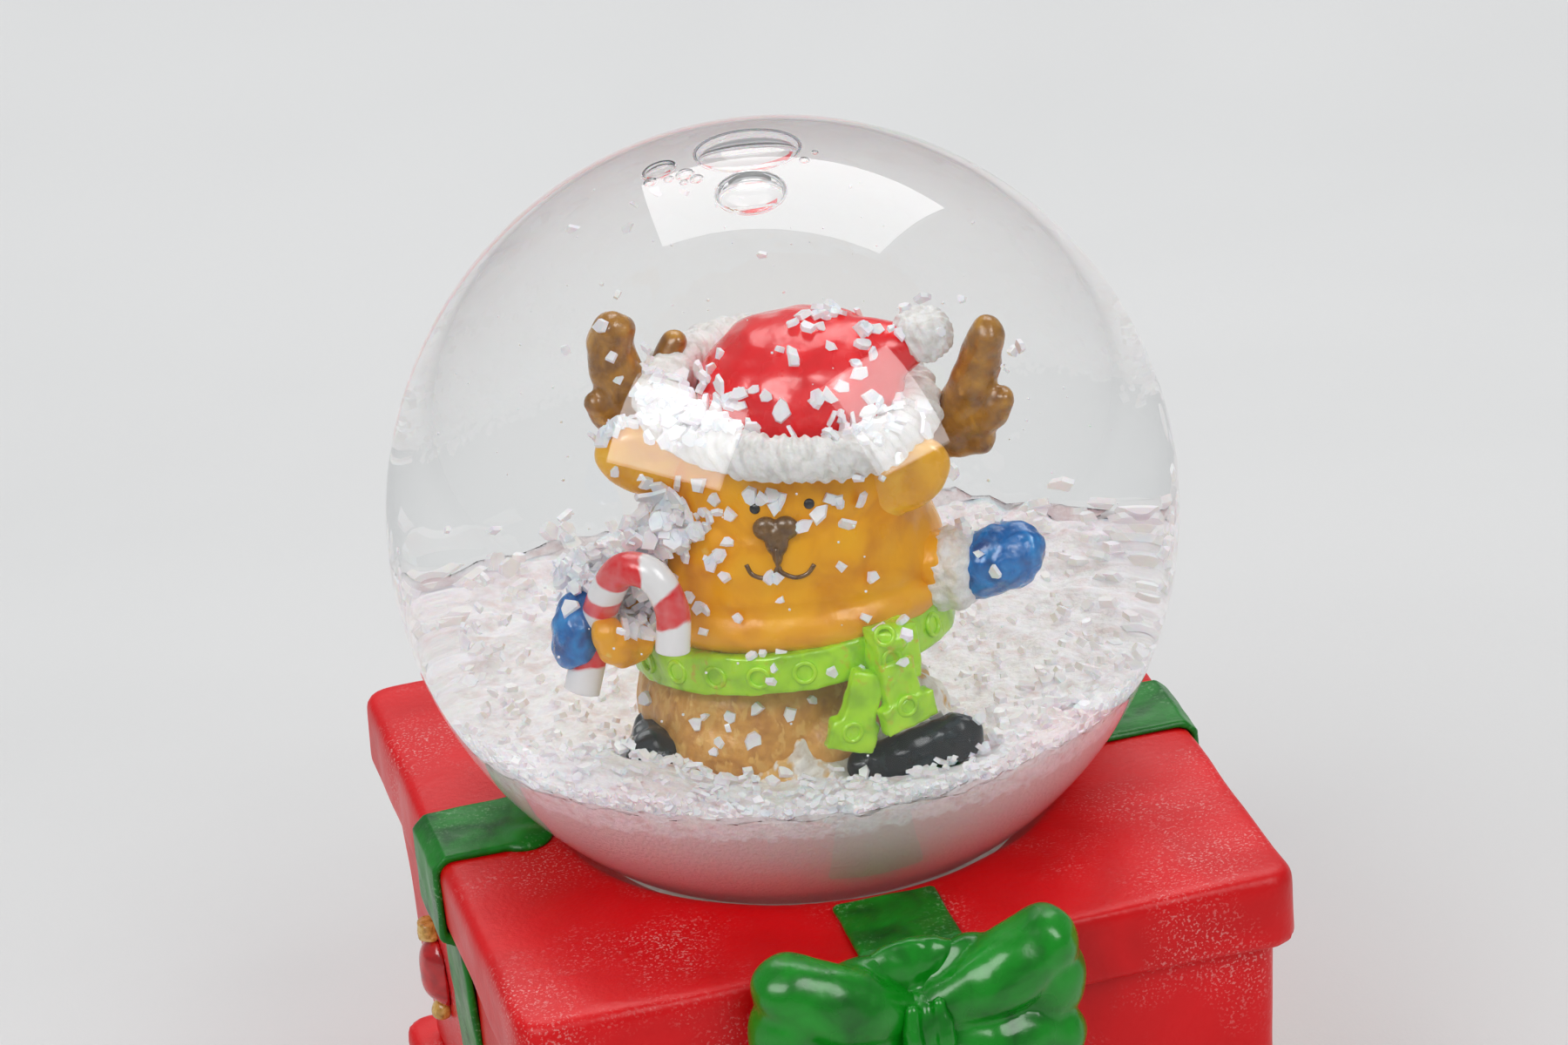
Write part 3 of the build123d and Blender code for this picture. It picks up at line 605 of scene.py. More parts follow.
def fur_rise(spot, normal):
    """Short carved tufts, deepest low on the belly."""
    tuft = noise.fractal(Vector((spot.x * 1.7, spot.y * 1.7, spot.z * 0.5)), 0.6, 2.0, 2)
    return (0.06 + 0.16 * max(0.0, min(1.0, (2.0 - spot.z) / 3))) * tuft


of_figure(belly.fuse("belly", 0.17, 4, fur_rise), belly_ochre, "coat_ochre", "reindeer_belly")

head = Clay(FIGURE)
head.blob((-0.3, 0.1, 8.2), (6.7, 6.3, 3.9)).blob((-0.3, 0, 9.6), (6.2, 6.2, 5.2))
head.blob((-0.15, 0, 11.6), (5.5, 5.8, 5.0)).blob((-0.3, -0.1, 6.7), (7.0, 6.5, 2.4))
of_figure(head.fuse("head", 0.17, 10, wobble(3.4, 0.1, 5)), coat_ochre, "coat_ochre", "reindeer_head")

BRIM_RADIUS = 5.55
BRIM_LUMPS = 44
BRIM_GROOVES = 64
brim = Clay(FIGURE @ Matrix.Translation((0.4, -0.2, 15.3)) @ Matrix.Rotation(math.radians(7), 4, "Y"))
for i in range(BRIM_LUMPS):
    bearing = FULL_TURN * (i + chance.uniform(-0.2, 0.2)) / BRIM_LUMPS
    spot = polar(BRIM_RADIUS + chance.uniform(-0.1, 0.15), bearing)
    brim.blob(spot, (1.22, 0.5, 1.5 * chance.uniform(0.86, 1.08)), (48, 0, math.degrees(bearing)))
    brim.blob(spot * 0.98, (1.15, 1.0, 1.1), (0, 0, math.degrees(bearing)))


def whipped(spot, normal):
    """Slanting grooves, as if combed round the roll."""
    bearing = math.atan2(spot.y, spot.x)
    comb = math.sin(BRIM_GROOVES * bearing + 5.2 * spot.z + 2.4 * noise.noise(spot * 0.7))
    return 0.07 * comb + 0.1 * noise.noise(spot * 1.8)


of_figure(brim.fuse("hat_fur", 0.13, 3, whipped), fur_white, "fur_white", "hat_brim")

crown = Clay(FIGURE)
crown.blob((0.9, 0.2, 15.6), (4.6, 4.4, 3.7)).blob((1.5, 0.2, 16.6), (3.8, 3.6, 2.6))
crown.rope(((2.4, 0.2, 16.9), (4.4, 0.6, 17.3), (5.8, 0.9, 17.6)), (2.0, 1.6, 1.0))
of_figure(crown.fuse("hat_dome", 0.17, 8, wobble(2.6, 0.18, 1)), hat_red, "hat_red", "hat_crown")

POMPOM_TUFTS = 14
pompom = Clay(Matrix.Translation(middle("hat_pompom")))
pompom.blob((0, 0, -0.2), 1.1)
for bearing in around(POMPOM_TUFTS):
    pompom.blob(polar(0.65, bearing, -0.1), (0.75, 0.3, 1.15), (24, 0, math.degrees(bearing)))
of_figure(pompom.fuse("pompom", 0.1, 3, wobble(0.5, 0.1)), fur_white, "fur_white", "hat_pompom")

antler = Clay(FIGURE)
beam = ((-5.0, 0.6, 13.2), (-6.6, 0.7, 15.4), (-7.3, 0.9, 17.4), (-7.25, 0.9, 18.6))
antler.rope(beam, (1.15, 1.3, 1.2, 1.0))
antler.rope(((-6.0, 0.6, 14.4), (-7.4, 0.3, 14.7), (-8.1, 0.1, 15.4)), (1.0, 0.85, 0.6))
antler.rope(((-5.9, 0.4, 13.6), (-7.2, 0.1, 13.9)), (0.8, 0.6))
antler.rope(((-6.3, 0.9, 15.4), (-5.2, 1.8, 16.2), (-4.6, 2.2, 17.2)), (0.75, 0.6, 0.55))
horn = antler.fuse("horn_left", 0.14, 5, wobble(1.6, 0.14))
of_figure(horn, antler_brown, "antler_brown", "antler_left")
antler = Clay(FIGURE)
beam = ((5.8, 1.6, 11.6), (7.2, 1.5, 13.2), (8.7, 1.3, 15.9), (9.6, 1.2, 17.9))
antler.rope(beam, (0.95, 1.05, 1.05, 0.85))
antler.rope(((7.6, 1.4, 13.2), (9.0, 1.0, 13.7), (9.8, 0.9, 14.6)), (0.95, 0.8, 0.6))
antler.rope(((7.2, 1.3, 12.4), (8.6, 1.0, 12.6)), (0.75, 0.6))
horn = antler.fuse("horn_right", 0.14, 5, wobble(1.6, 0.14, 3))
of_figure(horn, antler_brown, "antler_brown", "antler_right")


def ear(name, centre, lean, node):
    """A rounded ear with a shallow hollow in front."""
    inward = -math.copysign(1, centre[0])
    flap = Clay(FIGURE @ Matrix.Translation(centre) @ Matrix.Rotation(math.radians(lean), 4, "Y"))
    flap.blob((0, 0, 0), (2.35, 0.95, 1.65)).blob((1.5 * inward, 0.3, -0.2), (1.9, 1.1, 1.35))

    def hollow(spot, normal):
        near = math.exp(-(spot.x ** 2 / 1.3 + spot.z ** 2 / 0.7))
        return -0.42 * near * max(0.0, -normal.y) + 0.05 * noise.noise(spot)

    of_figure(flap.fuse(name, 0.12, 5, hollow), ear_ochre, "coat_ochre", node)


ear("ear_flap_left", (-5.9, -2.1, 13.7), 20, "ear_left")
ear("ear_flap_right", (5.6, -2.3, 12.6), -32, "ear_right")

nose = Clay(FIGURE)
nose.blob((-0.4, -5.75, 11.85), (0.62, 0.42, 0.58)).blob((0.5, -5.75, 11.85), (0.62, 0.42, 0.58))
nose.blob((0.05, -5.9, 11.3), (0.56, 0.42, 0.8)).blob((0.05, -6.0, 10.7), (0.26, 0.36, 0.6))
of_figure(nose.fuse("nose_tip", 0.06, 3), nose_brown, "antler_brown", "nose")

scarf_place = FIGURE @ Matrix.Translation((-0.3, 0, 5.0)) @ Matrix.Rotation(math.radians(-3.5), 4, "Y")
SCARF_SLABS = 72
scarf = Clay(scarf_place)
for bearing in around(SCARF_SLABS):
    spot = (6.1 * math.cos(bearing), 6.0 * math.sin(bearing), 0)
    scarf.slab(spot, (1.3, 0.9, 1.9), (0, 0, math.degrees(bearing)))
of_figure(scarf.fuse("scarf_wrap", 0.15, 6, wobble(1.6, 0.1)), scarf_lime, "scarf_lime", "scarf_band")

scarf = Clay(FIGURE)
scarf.slab((4.65, -5.4, 5.4), (2.1, 1.5, 2.7), (0, 0, 38)).blob((4.6, -5.6, 6.2), (1.0, 0.9, 0.7))
of_figure(scarf.fuse("scarf_tie", 0.13, 6, wobble(1.2, 0.1)), scarf_lime, "scarf_lime", "scarf_knot")
scarf = Clay(FIGURE)
scarf.slab((4.9, -5.9, 4.1), (1.7, 0.9, 2.4), (0, -6, 38))
scarf.slab((5.2, -5.9, 2.7), (2.7, 0.85, 1.3), (0, -10, 38))
tail = scarf.fuse("scarf_end_long", 0.12, 5, wobble(1.1, 0.1, 2))
of_figure(tail, scarf_lime, "scarf_lime", "scarf_tail_long")
scarf = Clay(FIGURE)
scarf.slab((3.3, -6.3, 3.6), (1.5, 0.9, 2.6), (0, 20, 22))
scarf.slab((2.7, -6.5, 1.9), (2.2, 0.85, 1.4), (0, 18, 22))
tail = scarf.fuse("scarf_end_short", 0.12, 5, wobble(1.1, 0.1, 4))
of_figure(tail, scarf_lime, "scarf_lime", "scarf_tail_short")

arm = Clay(FIGURE)
arm.rope(((3.4, -0.4, 7.4), (5.6, -0.7, 7.5), (6.9, -0.8, 7.6)), (2.3, 1.8, 1.4))
of_figure(arm.fuse("sleeve_right", 0.15, 6, wobble(0.9, 0.12)), coat_ochre, "coat_ochre", "arm_right")
cuff = Clay(FIGURE)
cuff.rope(((6.4, -0.8, 7.1), (6.9, -0.8, 7.5)), (1.6, 1.65))
cuff.blob((7.3, -0.9, 7.35), (1.1, 1.7, 1.85), (0, 8, 0))
of_figure(cuff.fuse("fur_cuff_right", 0.12, 4, wobble(0.6, 0.14)), fur_white, "fur_white", "cuff_right")
hand = Clay(FIGURE)
hand.rope(((8.0, -0.9, 7.4), (9.3, -0.9, 7.8)), (1.45, 1.55))
hand.blob((9.7, -0.9, 8.0), (1.6, 1.2, 1.35), (0, -18, 0))
of_figure(hand.fuse("hand_right", 0.13, 6, wobble(1.0, 0.14)), mitten_blue, "mitten_blue", "mitten_right")
arm = Clay(FIGURE)
arm.rope(((-3.6, -0.8, 8.2), (-6.0, -1.8, 8.0), (-7.2, -2.5, 7.2)), (2.2, 1.8, 1.35))
of_figure(arm.fuse("sleeve_left", 0.15, 6, wobble(0.9, 0.12)), coat_ochre, "coat_ochre", "arm_left")
cuff = Clay(FIGURE)
cuff.blob((-7.8, -2.9, 6.9), (1.1, 1.5, 1.55), (0, -20, 20)).blob((-8.0, -3.0, 7.4), (1.2, 1.3, 1.1))
of_figure(cuff.fuse("fur_cuff_left", 0.11, 3, wobble(0.45, 0.22, 2)), fur_white, "fur_white", "cuff_left")
hand = Clay(FIGURE)
hand.rope(((-8.9, -3.6, 7.0), (-9.4, -4.2, 5.9)), (1.25, 1.1)).blob((-9.3, -4.4, 6.5), (1.1, 1.3, 1.6))
of_figure(hand.fuse("hand_left", 0.13, 6, wobble(1.0, 0.14, 2)), mitten_blue, "mitten_blue", "mitten_left")
thumb = Clay(FIGURE)
thumb.rope(((-6.8, -4.3, 6.0), (-7.5, -5.3, 6.2), (-7.9, -5.6, 7.0)), (1.0, 0.95, 0.75))
of_figure(thumb.fuse("paw_thumb", 0.12, 5, wobble(0.8, 0.1)), coat_ochre, "coat_ochre", "paw")

boot = Clay(FIGURE)
boot.rope(((3.0, -5.2, 0.0), (5.2, -5.2, 0.45), (7.0, -4.9, 0.95)), (0.9, 1.2, 1.25))
boot.blob((5.6, -5.0, 0.6), (2.7, 1.4, 1.15), (0, -14, 8))
of_figure(boot.fuse("shoe_right", 0.14, 6, wobble(1.3, 0.16)), boot_black, "boot_black", "boot_right")
boot = Clay(FIGURE)
boot.rope(((-6.1, -1.2, 0.5), (-6.3, -4.2, 0.7)), (1.2, 1.15))
of_figure(boot.fuse("shoe_left", 0.14, 6, wobble(1.3, 0.16, 4)), boot_black, "boot_black", "boot_left")

# ---- candy cane ----------------------------------------------------------------------
CANE_POINTS = ((-4.9, -7.5, 6.7), (-4.8, -7.5, 8.8), (-5.6, -7.3, 10.4), (-6.9, -6.7, 10.5),
               (-7.8, -5.5, 8.9), (-8.5, -4.3, 6.4), (-9.2, -4.6, 3.8))
CANE_RADIUS = 0.8
CANE_SIDES = 28
CANE_WHITE = Vector((0.95, 0.93, 0.92))
CANE_RED = Vector((0.83, 0.0, 0.004))
# Each red band starts and ends at these distances along the cane, and fades at both ends.
RED_BANDS = ((1.3, 2.9), (4.2, 6.6), (7.8, 8.9), (11.0, 12.2))
BAND_FADE = 0.1
END_ROUNDING = 0.7


def redness(distance):
    """How red the cane is at a distance along it, from 0 to 1."""
    inside = max(min(distance - start, end - distance) for start, end in RED_BANDS)
    return max(0.0, min(1.0, inside / BAND_FADE))


cane = bmesh.new()
cane_line = [FIGURE @ spot for spot in curve_through(CANE_POINTS, 0.09)]
rings = tube(cane, cane_line, CANE_RADIUS, CANE_SIDES)
stripe = cane.loops.layers.float_color.new("stripe")
along = {}
distance = 0.0
for i, ring in enumerate(rings):
    distance += (cane_line[i] - cane_line[i - 1]).length if i else 0.0
    for vertex, angle in zip(ring, around(CANE_SIDES)):
        along[vertex] = distance + 0.3 * math.sin(angle) + 0.12 * noise.noise(vertex.co * 1.6)
for face in cane.faces:
    for loop in face.loops:
        loop[stripe] = (*CANE_WHITE.lerp(CANE_RED, redness(along[loop.vert])), 1)
for ring, centre in ((rings[0], cane_line[0]), (rings[-1], cane_line[-1])):
    for vertex in ring:
        vertex.co = centre + (vertex.co - centre) * END_ROUNDING
of_figure(from_bmesh("cane", cane), cane_paint, "cane_stripe", "candy_cane")


# ---- lines painted on the face, eyes, scarf dots, set on the sculpted skin ---------------
def skin_of(pieces):
    """One search tree, in millimetres, over finished pieces."""
    vertices = []
    faces = []
    for piece in pieces:
        start = len(vertices)
        vertices.extend(vertex.co / MM for vertex in piece.data.vertices)
        faces.extend([start + k for k in polygon.vertices] for polygon in piece.data.polygons)
    return BVHTree.FromPolygons(vertices, faces)


figure_skin = skin_of([piece for piece in figure_pieces if piece.name != "cane"])
scarf_skin = skin_of([piece for piece in figure_pieces if piece.name.startswith("scarf")])
facing = FIGURE.to_3x3()
OUTSIDE_FIGURE = 15


def on_front(x, z, skin):
    """The skin's point and normal straight behind a spot seen from the figure's front."""
    return skin.ray_cast(FIGURE @ Vector((x, -OUTSIDE_FIGURE, z)), facing @ Vector((0, 1, 0)))[:2]


MOUTH = ((-1.4, 10.2), (-1.15, 9.75), (-0.6, 9.6), (-0.1, 9.85), (0.05, 10.1),
         (0.2, 9.8), (0.75, 9.5), (1.3, 9.6), (1.65, 10.0))
LIP = ((0.05, 11.1), (0.05, 10.6), (0.05, 10.05))
EYES = ((-0.85, 12.75), (1.6, 12.75))
EYE_SIZE = (0.25, 0.25, 0.13)
FACE_LINE = 0.11
mouth = bmesh.new()
for line in (MOUTH, LIP):
    flat = curve_through([(x, 0, z) for x, z in line], 0.1)
    tube(mouth, [on_front(spot.x, spot.z, figure_skin)[0] for spot in flat], FACE_LINE, 8)
of_figure(from_bmesh("mouth_line", mouth), nose_brown, "antler_brown")
eyes = bmesh.new()
for x, z in EYES:
    spot, normal = on_front(x, z, figure_skin)
    matrix = Matrix.Translation(spot) @ lean_to(normal).to_4x4() @ Matrix.Diagonal((*EYE_SIZE, 1))
    bmesh.ops.create_uvsphere(eyes, u_segments=24, v_segments=16, radius=1, matrix=matrix)
of_figure(from_bmesh("eye_dots", eyes), eye_black, "eye_black", "eyes")

# The scarf's raised rings: degrees round the band, and x, z on the knot and the tails.
BAND_DOTS = (-152, -134, -116, -98, -80, -20, 15, 50, 85, 120, 155)
TAIL_DOTS = ((4.8, 5.4), (5.3, 3.1), (2.8, 2.2), (4.6, 6.6))
DOT_LINE = 0.12
DOT_SIDES = 28
DOT_LIFT = 0.02
dots = bmesh.new()


def dot_ring(spot, normal, radius):
    """A raised ring lying on the scarf."""
    lean = lean_to(normal)
    outline = [spot + lean @ polar(radius, angle, DOT_LIFT) for angle in around(DOT_SIDES)]
    tube(dots, outline, DOT_LINE, 8, True)


for bearing in BAND_DOTS:
    outward = polar(1, math.radians(bearing))
    start = scarf_place @ (outward * OUTSIDE_FIGURE)
    spot, normal = scarf_skin.ray_cast(start, scarf_place.to_3x3() @ -outward)[:2]
    dot_ring(spot, normal, 0.46)
for x, z in TAIL_DOTS:
    dot_ring(*on_front(x, z, scarf_skin), 0.42)
of_figure(from_bmesh("scarf_dots", dots), scarf_lime, "scarf_lime", "scarf_rings")

# ---- snow: the settled bed --------------------------------------------------------------
BED_LEVEL = high("figure_mound").z - 0.2
BED_FLOOR = STOPPER_TOP + 0.2
BED_RADIUS = WATER_RADIUS - 0.07
BED_REACH = 20.9
BED_SEGMENTS = 220
BED_TOP_RINGS = 90
BED_WALL_RINGS = 39
BED_DISH = 360
PILE_X = -10.5
PILE_Y = -4
PILE_HEIGHT = 1.5
PILE_SPREAD = 26


def bed_height(x, y):
    """The uneven top of the snow: dished, and piled up on the left and toward the glass."""
    reach = math.hypot(x, y)
    pile = PILE_HEIGHT * math.exp(-((x - PILE_X) ** 2 + (y - PILE_Y) ** 2) / PILE_SPREAD)
    rim = 0.5 * max(0.0, (reach - 14) / 7) ** 2
    rim += 0.55 * min(1.0, reach / 20) ** 3 * noise.noise(Vector((x * 0.9, y * 0.9, 7)))
    rough = 0.28 * noise.fractal(Vector((x / 2.2, y / 2.2, 0)), 0.7, 2.0, 3)
    rough += 0.1 * noise.noise(Vector((x * 2, y * 2, 3)))
    return BED_LEVEL + reach ** 2 / BED_DISH + pile + rim + rough


def bed_edge(height):
    """The bed's radius where it meets the ball, at a height."""
    return math.sqrt(max(0.0, BED_RADIUS ** 2 - (height - BALL_CENTRE.z) ** 2))


def make_bed():
    """An uneven top, a wall just inside the glass, and a flat floor on the stopper."""
    form = bmesh.new()
    rings = [[form.verts.new((0, 0, bed_height(0, 0)))] * BED_SEGMENTS]
    for i in range(1, BED_TOP_RINGS + 1):
        reach = BED_REACH * i / BED_TOP_RINGS
        ring = []
        for angle in around(BED_SEGMENTS):
            height = bed_height(reach * math.cos(angle), reach * math.sin(angle))
            ring.append(form.verts.new(polar(min(reach, bed_edge(height)), angle, height)))
        rings.append(ring)
    tops = [vertex.co.z for vertex in rings[-1]]
    for i in range(1, BED_WALL_RINGS + 1):
        ring = []
        for top, angle in zip(tops, around(BED_SEGMENTS)):
            height = top + (BED_FLOOR - top) * i / BED_WALL_RINGS
            ring.append(form.verts.new(polar(bed_edge(height), angle, height)))
        rings.append(ring)
    rings.append([form.verts.new((0, 0, BED_FLOOR))] * BED_SEGMENTS)
    ring_faces(form, rings)
    return from_bmesh("snow_settled", form)


show(make_bed(), snow_powder, "snow", "snow_bed")

# ---- snow: loose flakes ------------------------------------------------------------------
BED_FLAKES = 2300
RIM_FLAKES = 700
DUST_SPECKS = 260
FLAKE_REACH = 20.6
RIM_REACH = 20.45
CLEAR_OF_FIGURE = 12
DROP = 14
FLAKE_TILT = 0.35
FLAKE_SPIN = 6.28
FLAKE_SQUASH = 0.85
FLAKE_TAPER = 0.88
FLAKE_UNDER = 0.6
flakes = bmesh.new()


def flake(spot, normal, radius):
    """A thin chip with an irregular outline, lying roughly across a normal."""
    turns = (chance.gauss(0, FLAKE_TILT), chance.gauss(0, FLAKE_TILT), chance.uniform(0, FLAKE_SPIN))
    lean = lean_to(normal) @ Euler(turns).to_matrix()
    count = chance.choice((4, 5, 5, 6, 7))
    thick = chance.uniform(0.09, 0.16)
    outline = []
    for k in range(count):
        angle = FULL_TURN * (k + chance.uniform(-0.3, 0.3)) / count
        corner = polar(radius * chance.uniform(0.62, 1.15), angle)
        corner.y *= FLAKE_SQUASH
        outline.append(corner)
    above = Vector((0, 0, thick))
    upper = [flakes.verts.new(spot + lean @ (corner * FLAKE_TAPER + above)) for corner in outline]
    lower = [flakes.verts.new(spot + lean @ (corner - above * FLAKE_UNDER)) for corner in outline]
    flakes.faces.new(upper)
    flakes.faces.new(lower[::-1])
    ring_faces(flakes, [lower, upper])


def inside_water(spot, margin=0.6):
    return (spot - BALL_CENTRE).length < WATER_RADIUS - margin


def random_way():
    return Vector([chance.gauss(0, 1) for _ in range(3)])


def on_nose(spot):
    """Whether a spot is on the nose, which stays free of snow."""
    seen = FIGURE.inverted() @ spot
    return abs(seen.x) < 1.1 and seen.y < -4 and 10.5 < seen.z < 12.7


def scatter(count, centre, spread, direction, sizes=(0.3, 0.62)):
    """Drop flakes on the figure round a spot of its own frame, falling along a direction."""
    fall = (facing @ Vector(direction)).normalized()
    for _ in range(count):
        aim = FIGURE @ Vector([chance.gauss(c, s) for c, s in zip(centre, spread)])
        spot, normal = figure_skin.ray_cast(aim - fall * DROP, fall)[:2]
        if spot and inside_water(spot) and not on_nose(spot):
            flake(spot + normal * chance.uniform(0.02, 0.35), normal, chance.uniform(*sizes))


def heap(count, centre, size, sizes=(0.28, 0.62)):
    """A loose pile of flakes in a rounded volume of the figure's frame."""
    for _ in range(count):
        way = random_way().normalized() * chance.uniform(0.25, 1) ** 0.5
        spot = FIGURE @ (Vector(centre) + Vector([w * s for w, s in zip(way, size)]))
        if inside_water(spot):
            flake(spot, facing @ (way + Vector((0, -0.4, 0.3))), chance.uniform(*sizes))


def tumbling(spot, sizes):
    flake(spot, random_way(), chance.uniform(*sizes))


DOWN = (0, 0, -1)
# Piles on the left arm and cheek, at the left foot and on the hat's fur.
heap(120, (-8.0, -3.2, 8.9), (2.2, 1.2, 1.3))
heap(50, (-6.2, -4.6, 9.4), (1.2, 1.0, 1.4))
heap(60, (-5.1, -4.9, 11.5), (2.0, 0.9, 1.3))
heap(70, (-7.6, -4.4, 0.7), (2.2, 1.5, 0.7))
heap(30, (-4.0, -5.0, 16.6), (1.9, 0.8, 0.9))
heap(18, (4.2, -3.6, 16.0), (1.6, 0.9, 0.8))
# On the fur and the crown of the hat.
scatter(60, (-4.8, -2.6, 17), (1.1, 1.4, 1), DOWN)
scatter(36, (-3.4, -3.6, 17), (1.0, 1.0, 1), (0.2, 0.6, -1))
scatter(22, (-2.0, -4.4, 17), (1.4, 0.8, 1), DOWN)
scatter(16, (1.0, -1.5, 20), (2.2, 1.8, 1), DOWN)
scatter(22, (4.4, -2.8, 18), (1.3, 1.3, 1), DOWN)
scatter(16, (3.4, 0.8, 19), (1.5, 1.2, 1), DOWN)
scatter(10, (5.8, -1.6, 17), (1.0, 0.8, 1), DOWN)
scatter(16, (1.0, -5.2, 17), (1.8, 0.6, 1), (0, 0.5, -1))
# On the face and the belly.
scatter(70, (-5.0, -4.2, 11.6), (1.3, 1.0, 1.0), (0.35, 1, -0.5), (0.3, 0.7))
scatter(6, (-1.6, -6, 13.1), (0.9, 0.3, 0.3), (0, 1, -0.2))
scatter(3, (0.3, -6, 13.2), (0.3, 0.3, 0.2), (0, 1, -0.2), (0.45, 0.7))
scatter(7, (2.6, -6, 12.5), (0.5, 0.3, 0.5), (0, 1, -0.2))
scatter(9, (2.0, -6, 8.0), (2.6, 0.3, 1.6), (0, 1, -0.1), (0.26, 0.45))
scatter(6, (-2.5, -6, 8.6), (1.4, 0.3, 1.2), (0, 1, -0.1), (0.26, 0.45))
scatter(8, (0.5, -6, 5.2), (3.4, 0.3, 0.6), (0, 1, -0.1), (0.26, 0.45))
scatter(10, (-2.2, -6, 2.4), (1.8, 0.3, 1.1), (0, 1, -0.1), (0.26, 0.6))
# On the left arm, behind the cane, on the right mitten and on the right boot.
scatter(90, (-7.6, -2.8, 10), (1.2, 1.4, 1), DOWN, (0.3, 0.7))
scatter(60, (-7.4, -4.0, 9.4), (1.1, 1.0, 0.8), (0.3, 1, -0.8), (0.3, 0.7))
scatter(16, (-5.6, -6.2, 9), (1.0, 1.0, 1.2), (0.2, 1, -0.6))
scatter(5, (8.4, -1.0, 9), (0.9, 0.6, 1), DOWN, (0.26, 0.4))
scatter(10, (5.6, -5.0, 3), (1.2, 0.6, 1), DOWN, (0.26, 0.5))
# Over the bed, every third one out toward the glass, and smaller behind the figure.
for i in range(BED_FLAKES):
    bearing = chance.uniform(0, FULL_TURN)
    reach = FLAKE_REACH * math.sqrt(chance.uniform(0.06, 1))
    if i % 3 == 0:
        reach = chance.uniform(17, FLAKE_REACH)
    spot = polar(reach, bearing)
    spot.z = bed_height(spot.x, spot.y) + chance.uniform(0.0, 0.5)
    if inside_water(spot, 0.5):
        scale = 0.6 if spot.y > 2 else 1.0
        tilted = Vector((chance.gauss(0, 0.4), chance.gauss(0, 0.4), 1))
        flake(spot, tilted, scale * chance.uniform(0.22, 0.5))
# Standing against the glass where the bed meets it, fewer of them at the back.
for i in range(RIM_FLAKES):
    bearing = chance.uniform(0, FULL_TURN)
    if math.sin(bearing) > 0.15 and i % 4:
        continue
    spot = polar(RIM_REACH, bearing)
    spot.z = bed_height(spot.x, spot.y) + chance.uniform(-0.8, 0.6)
    outward = Vector((spot.x, spot.y, 0))
    depth = WATER_RADIUS - chance.uniform(0.35, 0.8)
    spot = BALL_CENTRE + (spot - BALL_CENTRE).normalized() * depth
    outward.z = chance.uniform(-6, 20)
    flake(spot, outward, chance.uniform(0.22, 0.46))
# Afloat all round, then more on the left.
for _ in range(60):
    spot = BALL_CENTRE + Vector((chance.gauss(-3, 8), chance.gauss(-1, 8), chance.uniform(-9, 15)))
    if inside_water(spot, 1.0) and (spot - BALL_CENTRE).length > CLEAR_OF_FIGURE:
        tumbling(spot, (0.25, 0.55))
for _ in range(22):
    spot = BALL_CENTRE + Vector((chance.gauss(-16.5, 1.2), chance.gauss(-3, 3), chance.gauss(-3.5, 4)))
    if inside_water(spot, 0.8):
        tumbling(spot, (0.25, 0.5))
for _ in range(DUST_SPECKS):
    spot = BALL_CENTRE + random_way() * 9
    if inside_water(spot) and spot.z > BED_LEVEL + 2:
        place = Matrix.Translation(spot)
        bmesh.ops.create_icosphere(flakes, subdivisions=1, radius=chance.uniform(0.03, 0.08), matrix=place)
show(from_bmesh("flakes_loose", flakes, smooth=False), flake_white, "snow", "snow_flakes")

# ---- CAD pieces that stay as they are -------------------------------------------------------
for node, material in (("rubber_stopper", rubber), ("glue_ring", glue)):
    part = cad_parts[node]
    part.data.materials.clear()
    part.data.materials.append(material)


# ---- stage: floor, light, camera --------------------------------------------------------------
FLOOR_SIZE = 3.0
FLOOR_GAP = 0.0001


def make_floor():
    form = bmesh.new()
    bmesh.ops.create_grid(form, x_segments=40, y_segments=40, size=FLOOR_SIZE)
    mesh = bpy.data.meshes.new("floor")
    form.to_mesh(mesh)
    form.free()
    floor = bpy.data.objects.new("floor", mesh)
    floor.location = (0, 0, cad_bounds[0][2] - FLOOR_GAP)
    floor.data.materials.append(floor_pale)
    bpy.context.scene.collection.objects.link(floor)


make_floor()
world = bpy.data.worlds.new("soft_studio")
world.use_nodes = True
world.node_tree.nodes["Background"].inputs["Color"].default_value = (0.92, 0.95, 1.0, 1)
world.node_tree.nodes["Background"].inputs["Strength"].default_value = 0.34
bpy.context.scene.world = world
bpy.context.scene.view_settings.view_transform = "Standard"

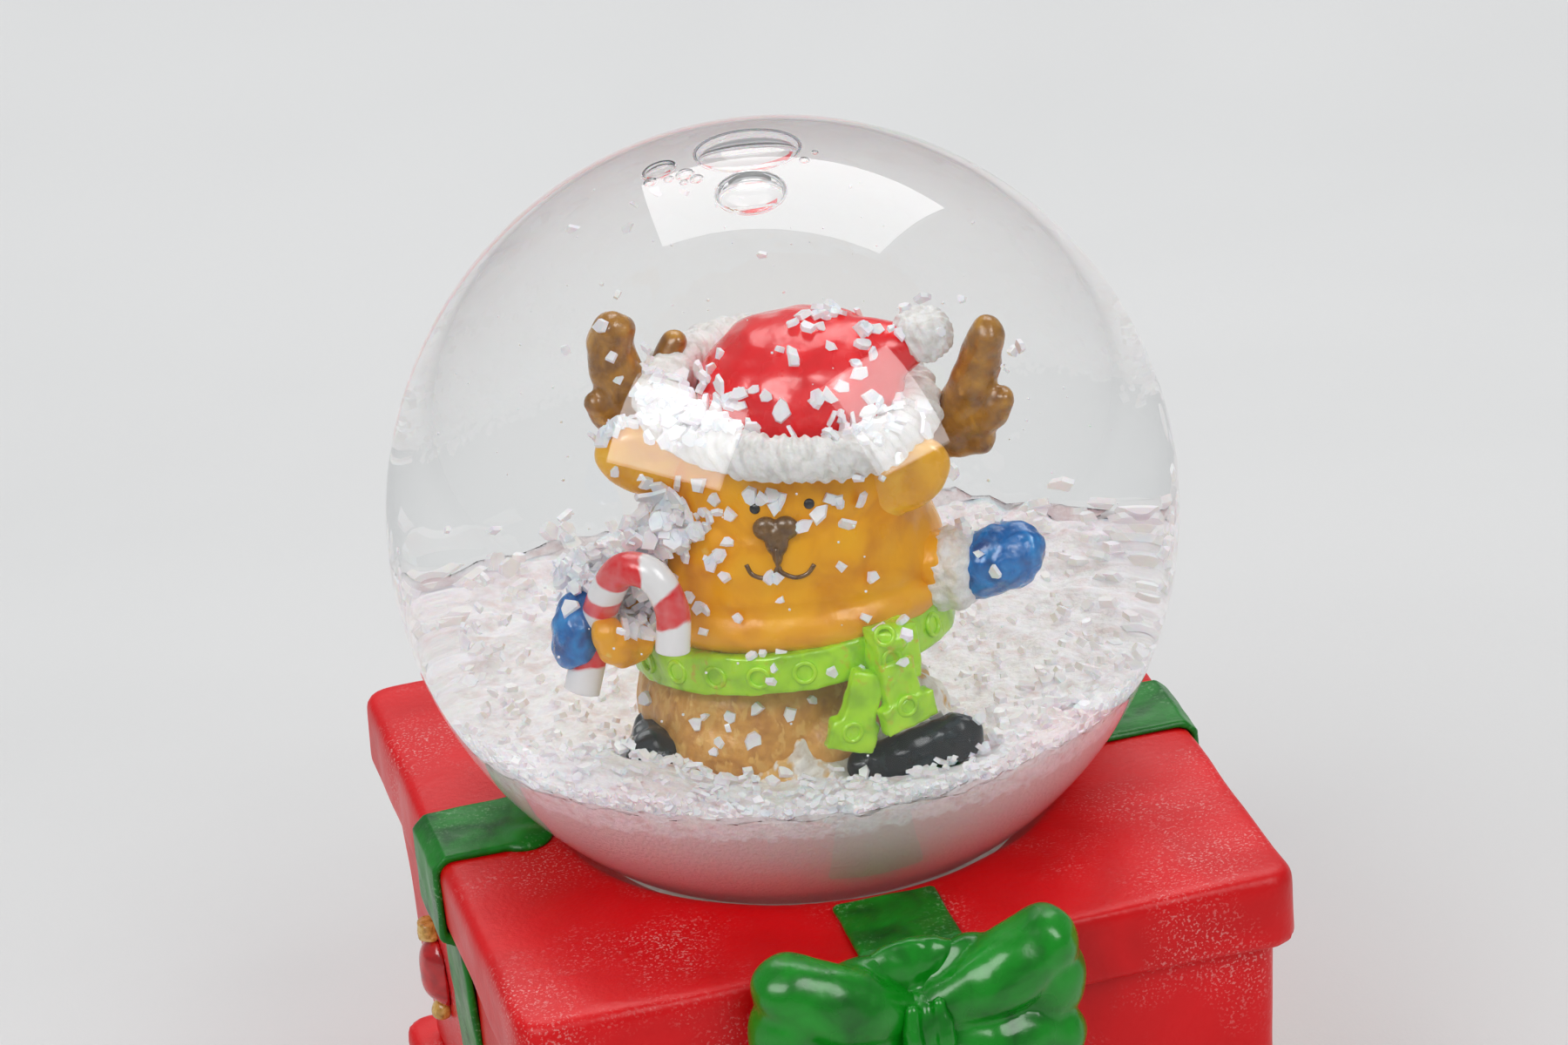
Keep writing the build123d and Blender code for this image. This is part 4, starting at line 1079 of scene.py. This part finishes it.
AIM_BELOW = 0.7
AIM = (BALL_CENTRE - Vector((0, 0, AIM_BELOW))) * MM
CAMERA_AZIMUTH = math.radians(-12.6)
CAMERA_ELEVATION = math.radians(25.3)
CAMERA_DISTANCE = 0.330
CAMERA_ROLL = math.radians(-5.33)
CAMERA_LENS = 133.4
right = polar(1, CAMERA_AZIMUTH)
back = polar(math.cos(CAMERA_ELEVATION), CAMERA_AZIMUTH - math.pi / 2, math.sin(CAMERA_ELEVATION))
above = back.cross(right)


def softbox(name, direction, distance, size, power, glint=False):
    """A studio light that faces the ball. direction = its parts to the right, up and toward the camera.

    A glint light only shows in gloss and glass."""
    way = (right * direction[0] + above * direction[1] + back * direction[2]).normalized()
    data = bpy.data.lights.new(name, "AREA")
    data.shape = "RECTANGLE"
    data.size = size[0]
    data.size_y = size[1]
    data.energy = power
    lamp = bpy.data.objects.new(name, data)
    lamp.matrix_world = Matrix.Translation(AIM + way * distance) @ lean_to(way).to_4x4()
    lamp.visible_diffuse = not glint
    bpy.context.scene.collection.objects.link(lamp)


softbox("softbox_left", (-0.46, 0.42, 0.8), 0.75, (0.46, 0.32), 1.5)
softbox("softbox_right", (0.5, 0.4, 0.74), 0.75, (0.32, 0.4), 1.1)
softbox("softbox_top", (0.1, 1.0, -0.25), 0.8, (0.7, 0.5), 3.2)
softbox("glint_left", (-0.46, 0.4, 0.8), 0.7, (0.44, 0.29), 1.5, True)
softbox("glint_right", (0.52, 0.41, 0.74), 0.7, (0.27, 0.36), 1.2, True)

camera = bpy.data.objects.new("camera", bpy.data.cameras.new("camera"))
camera.data.sensor_width = 36
camera.data.lens = CAMERA_LENS
camera.data.clip_start = 0.01
side = right * math.cos(CAMERA_ROLL) + above * math.sin(CAMERA_ROLL)
upward = above * math.cos(CAMERA_ROLL) - right * math.sin(CAMERA_ROLL)
camera_turn = Matrix((side, upward, back)).transposed().to_4x4()
camera.matrix_world = Matrix.Translation(AIM + back * CAMERA_DISTANCE) @ camera_turn
bpy.context.scene.collection.objects.link(camera)
bpy.context.scene.camera = camera
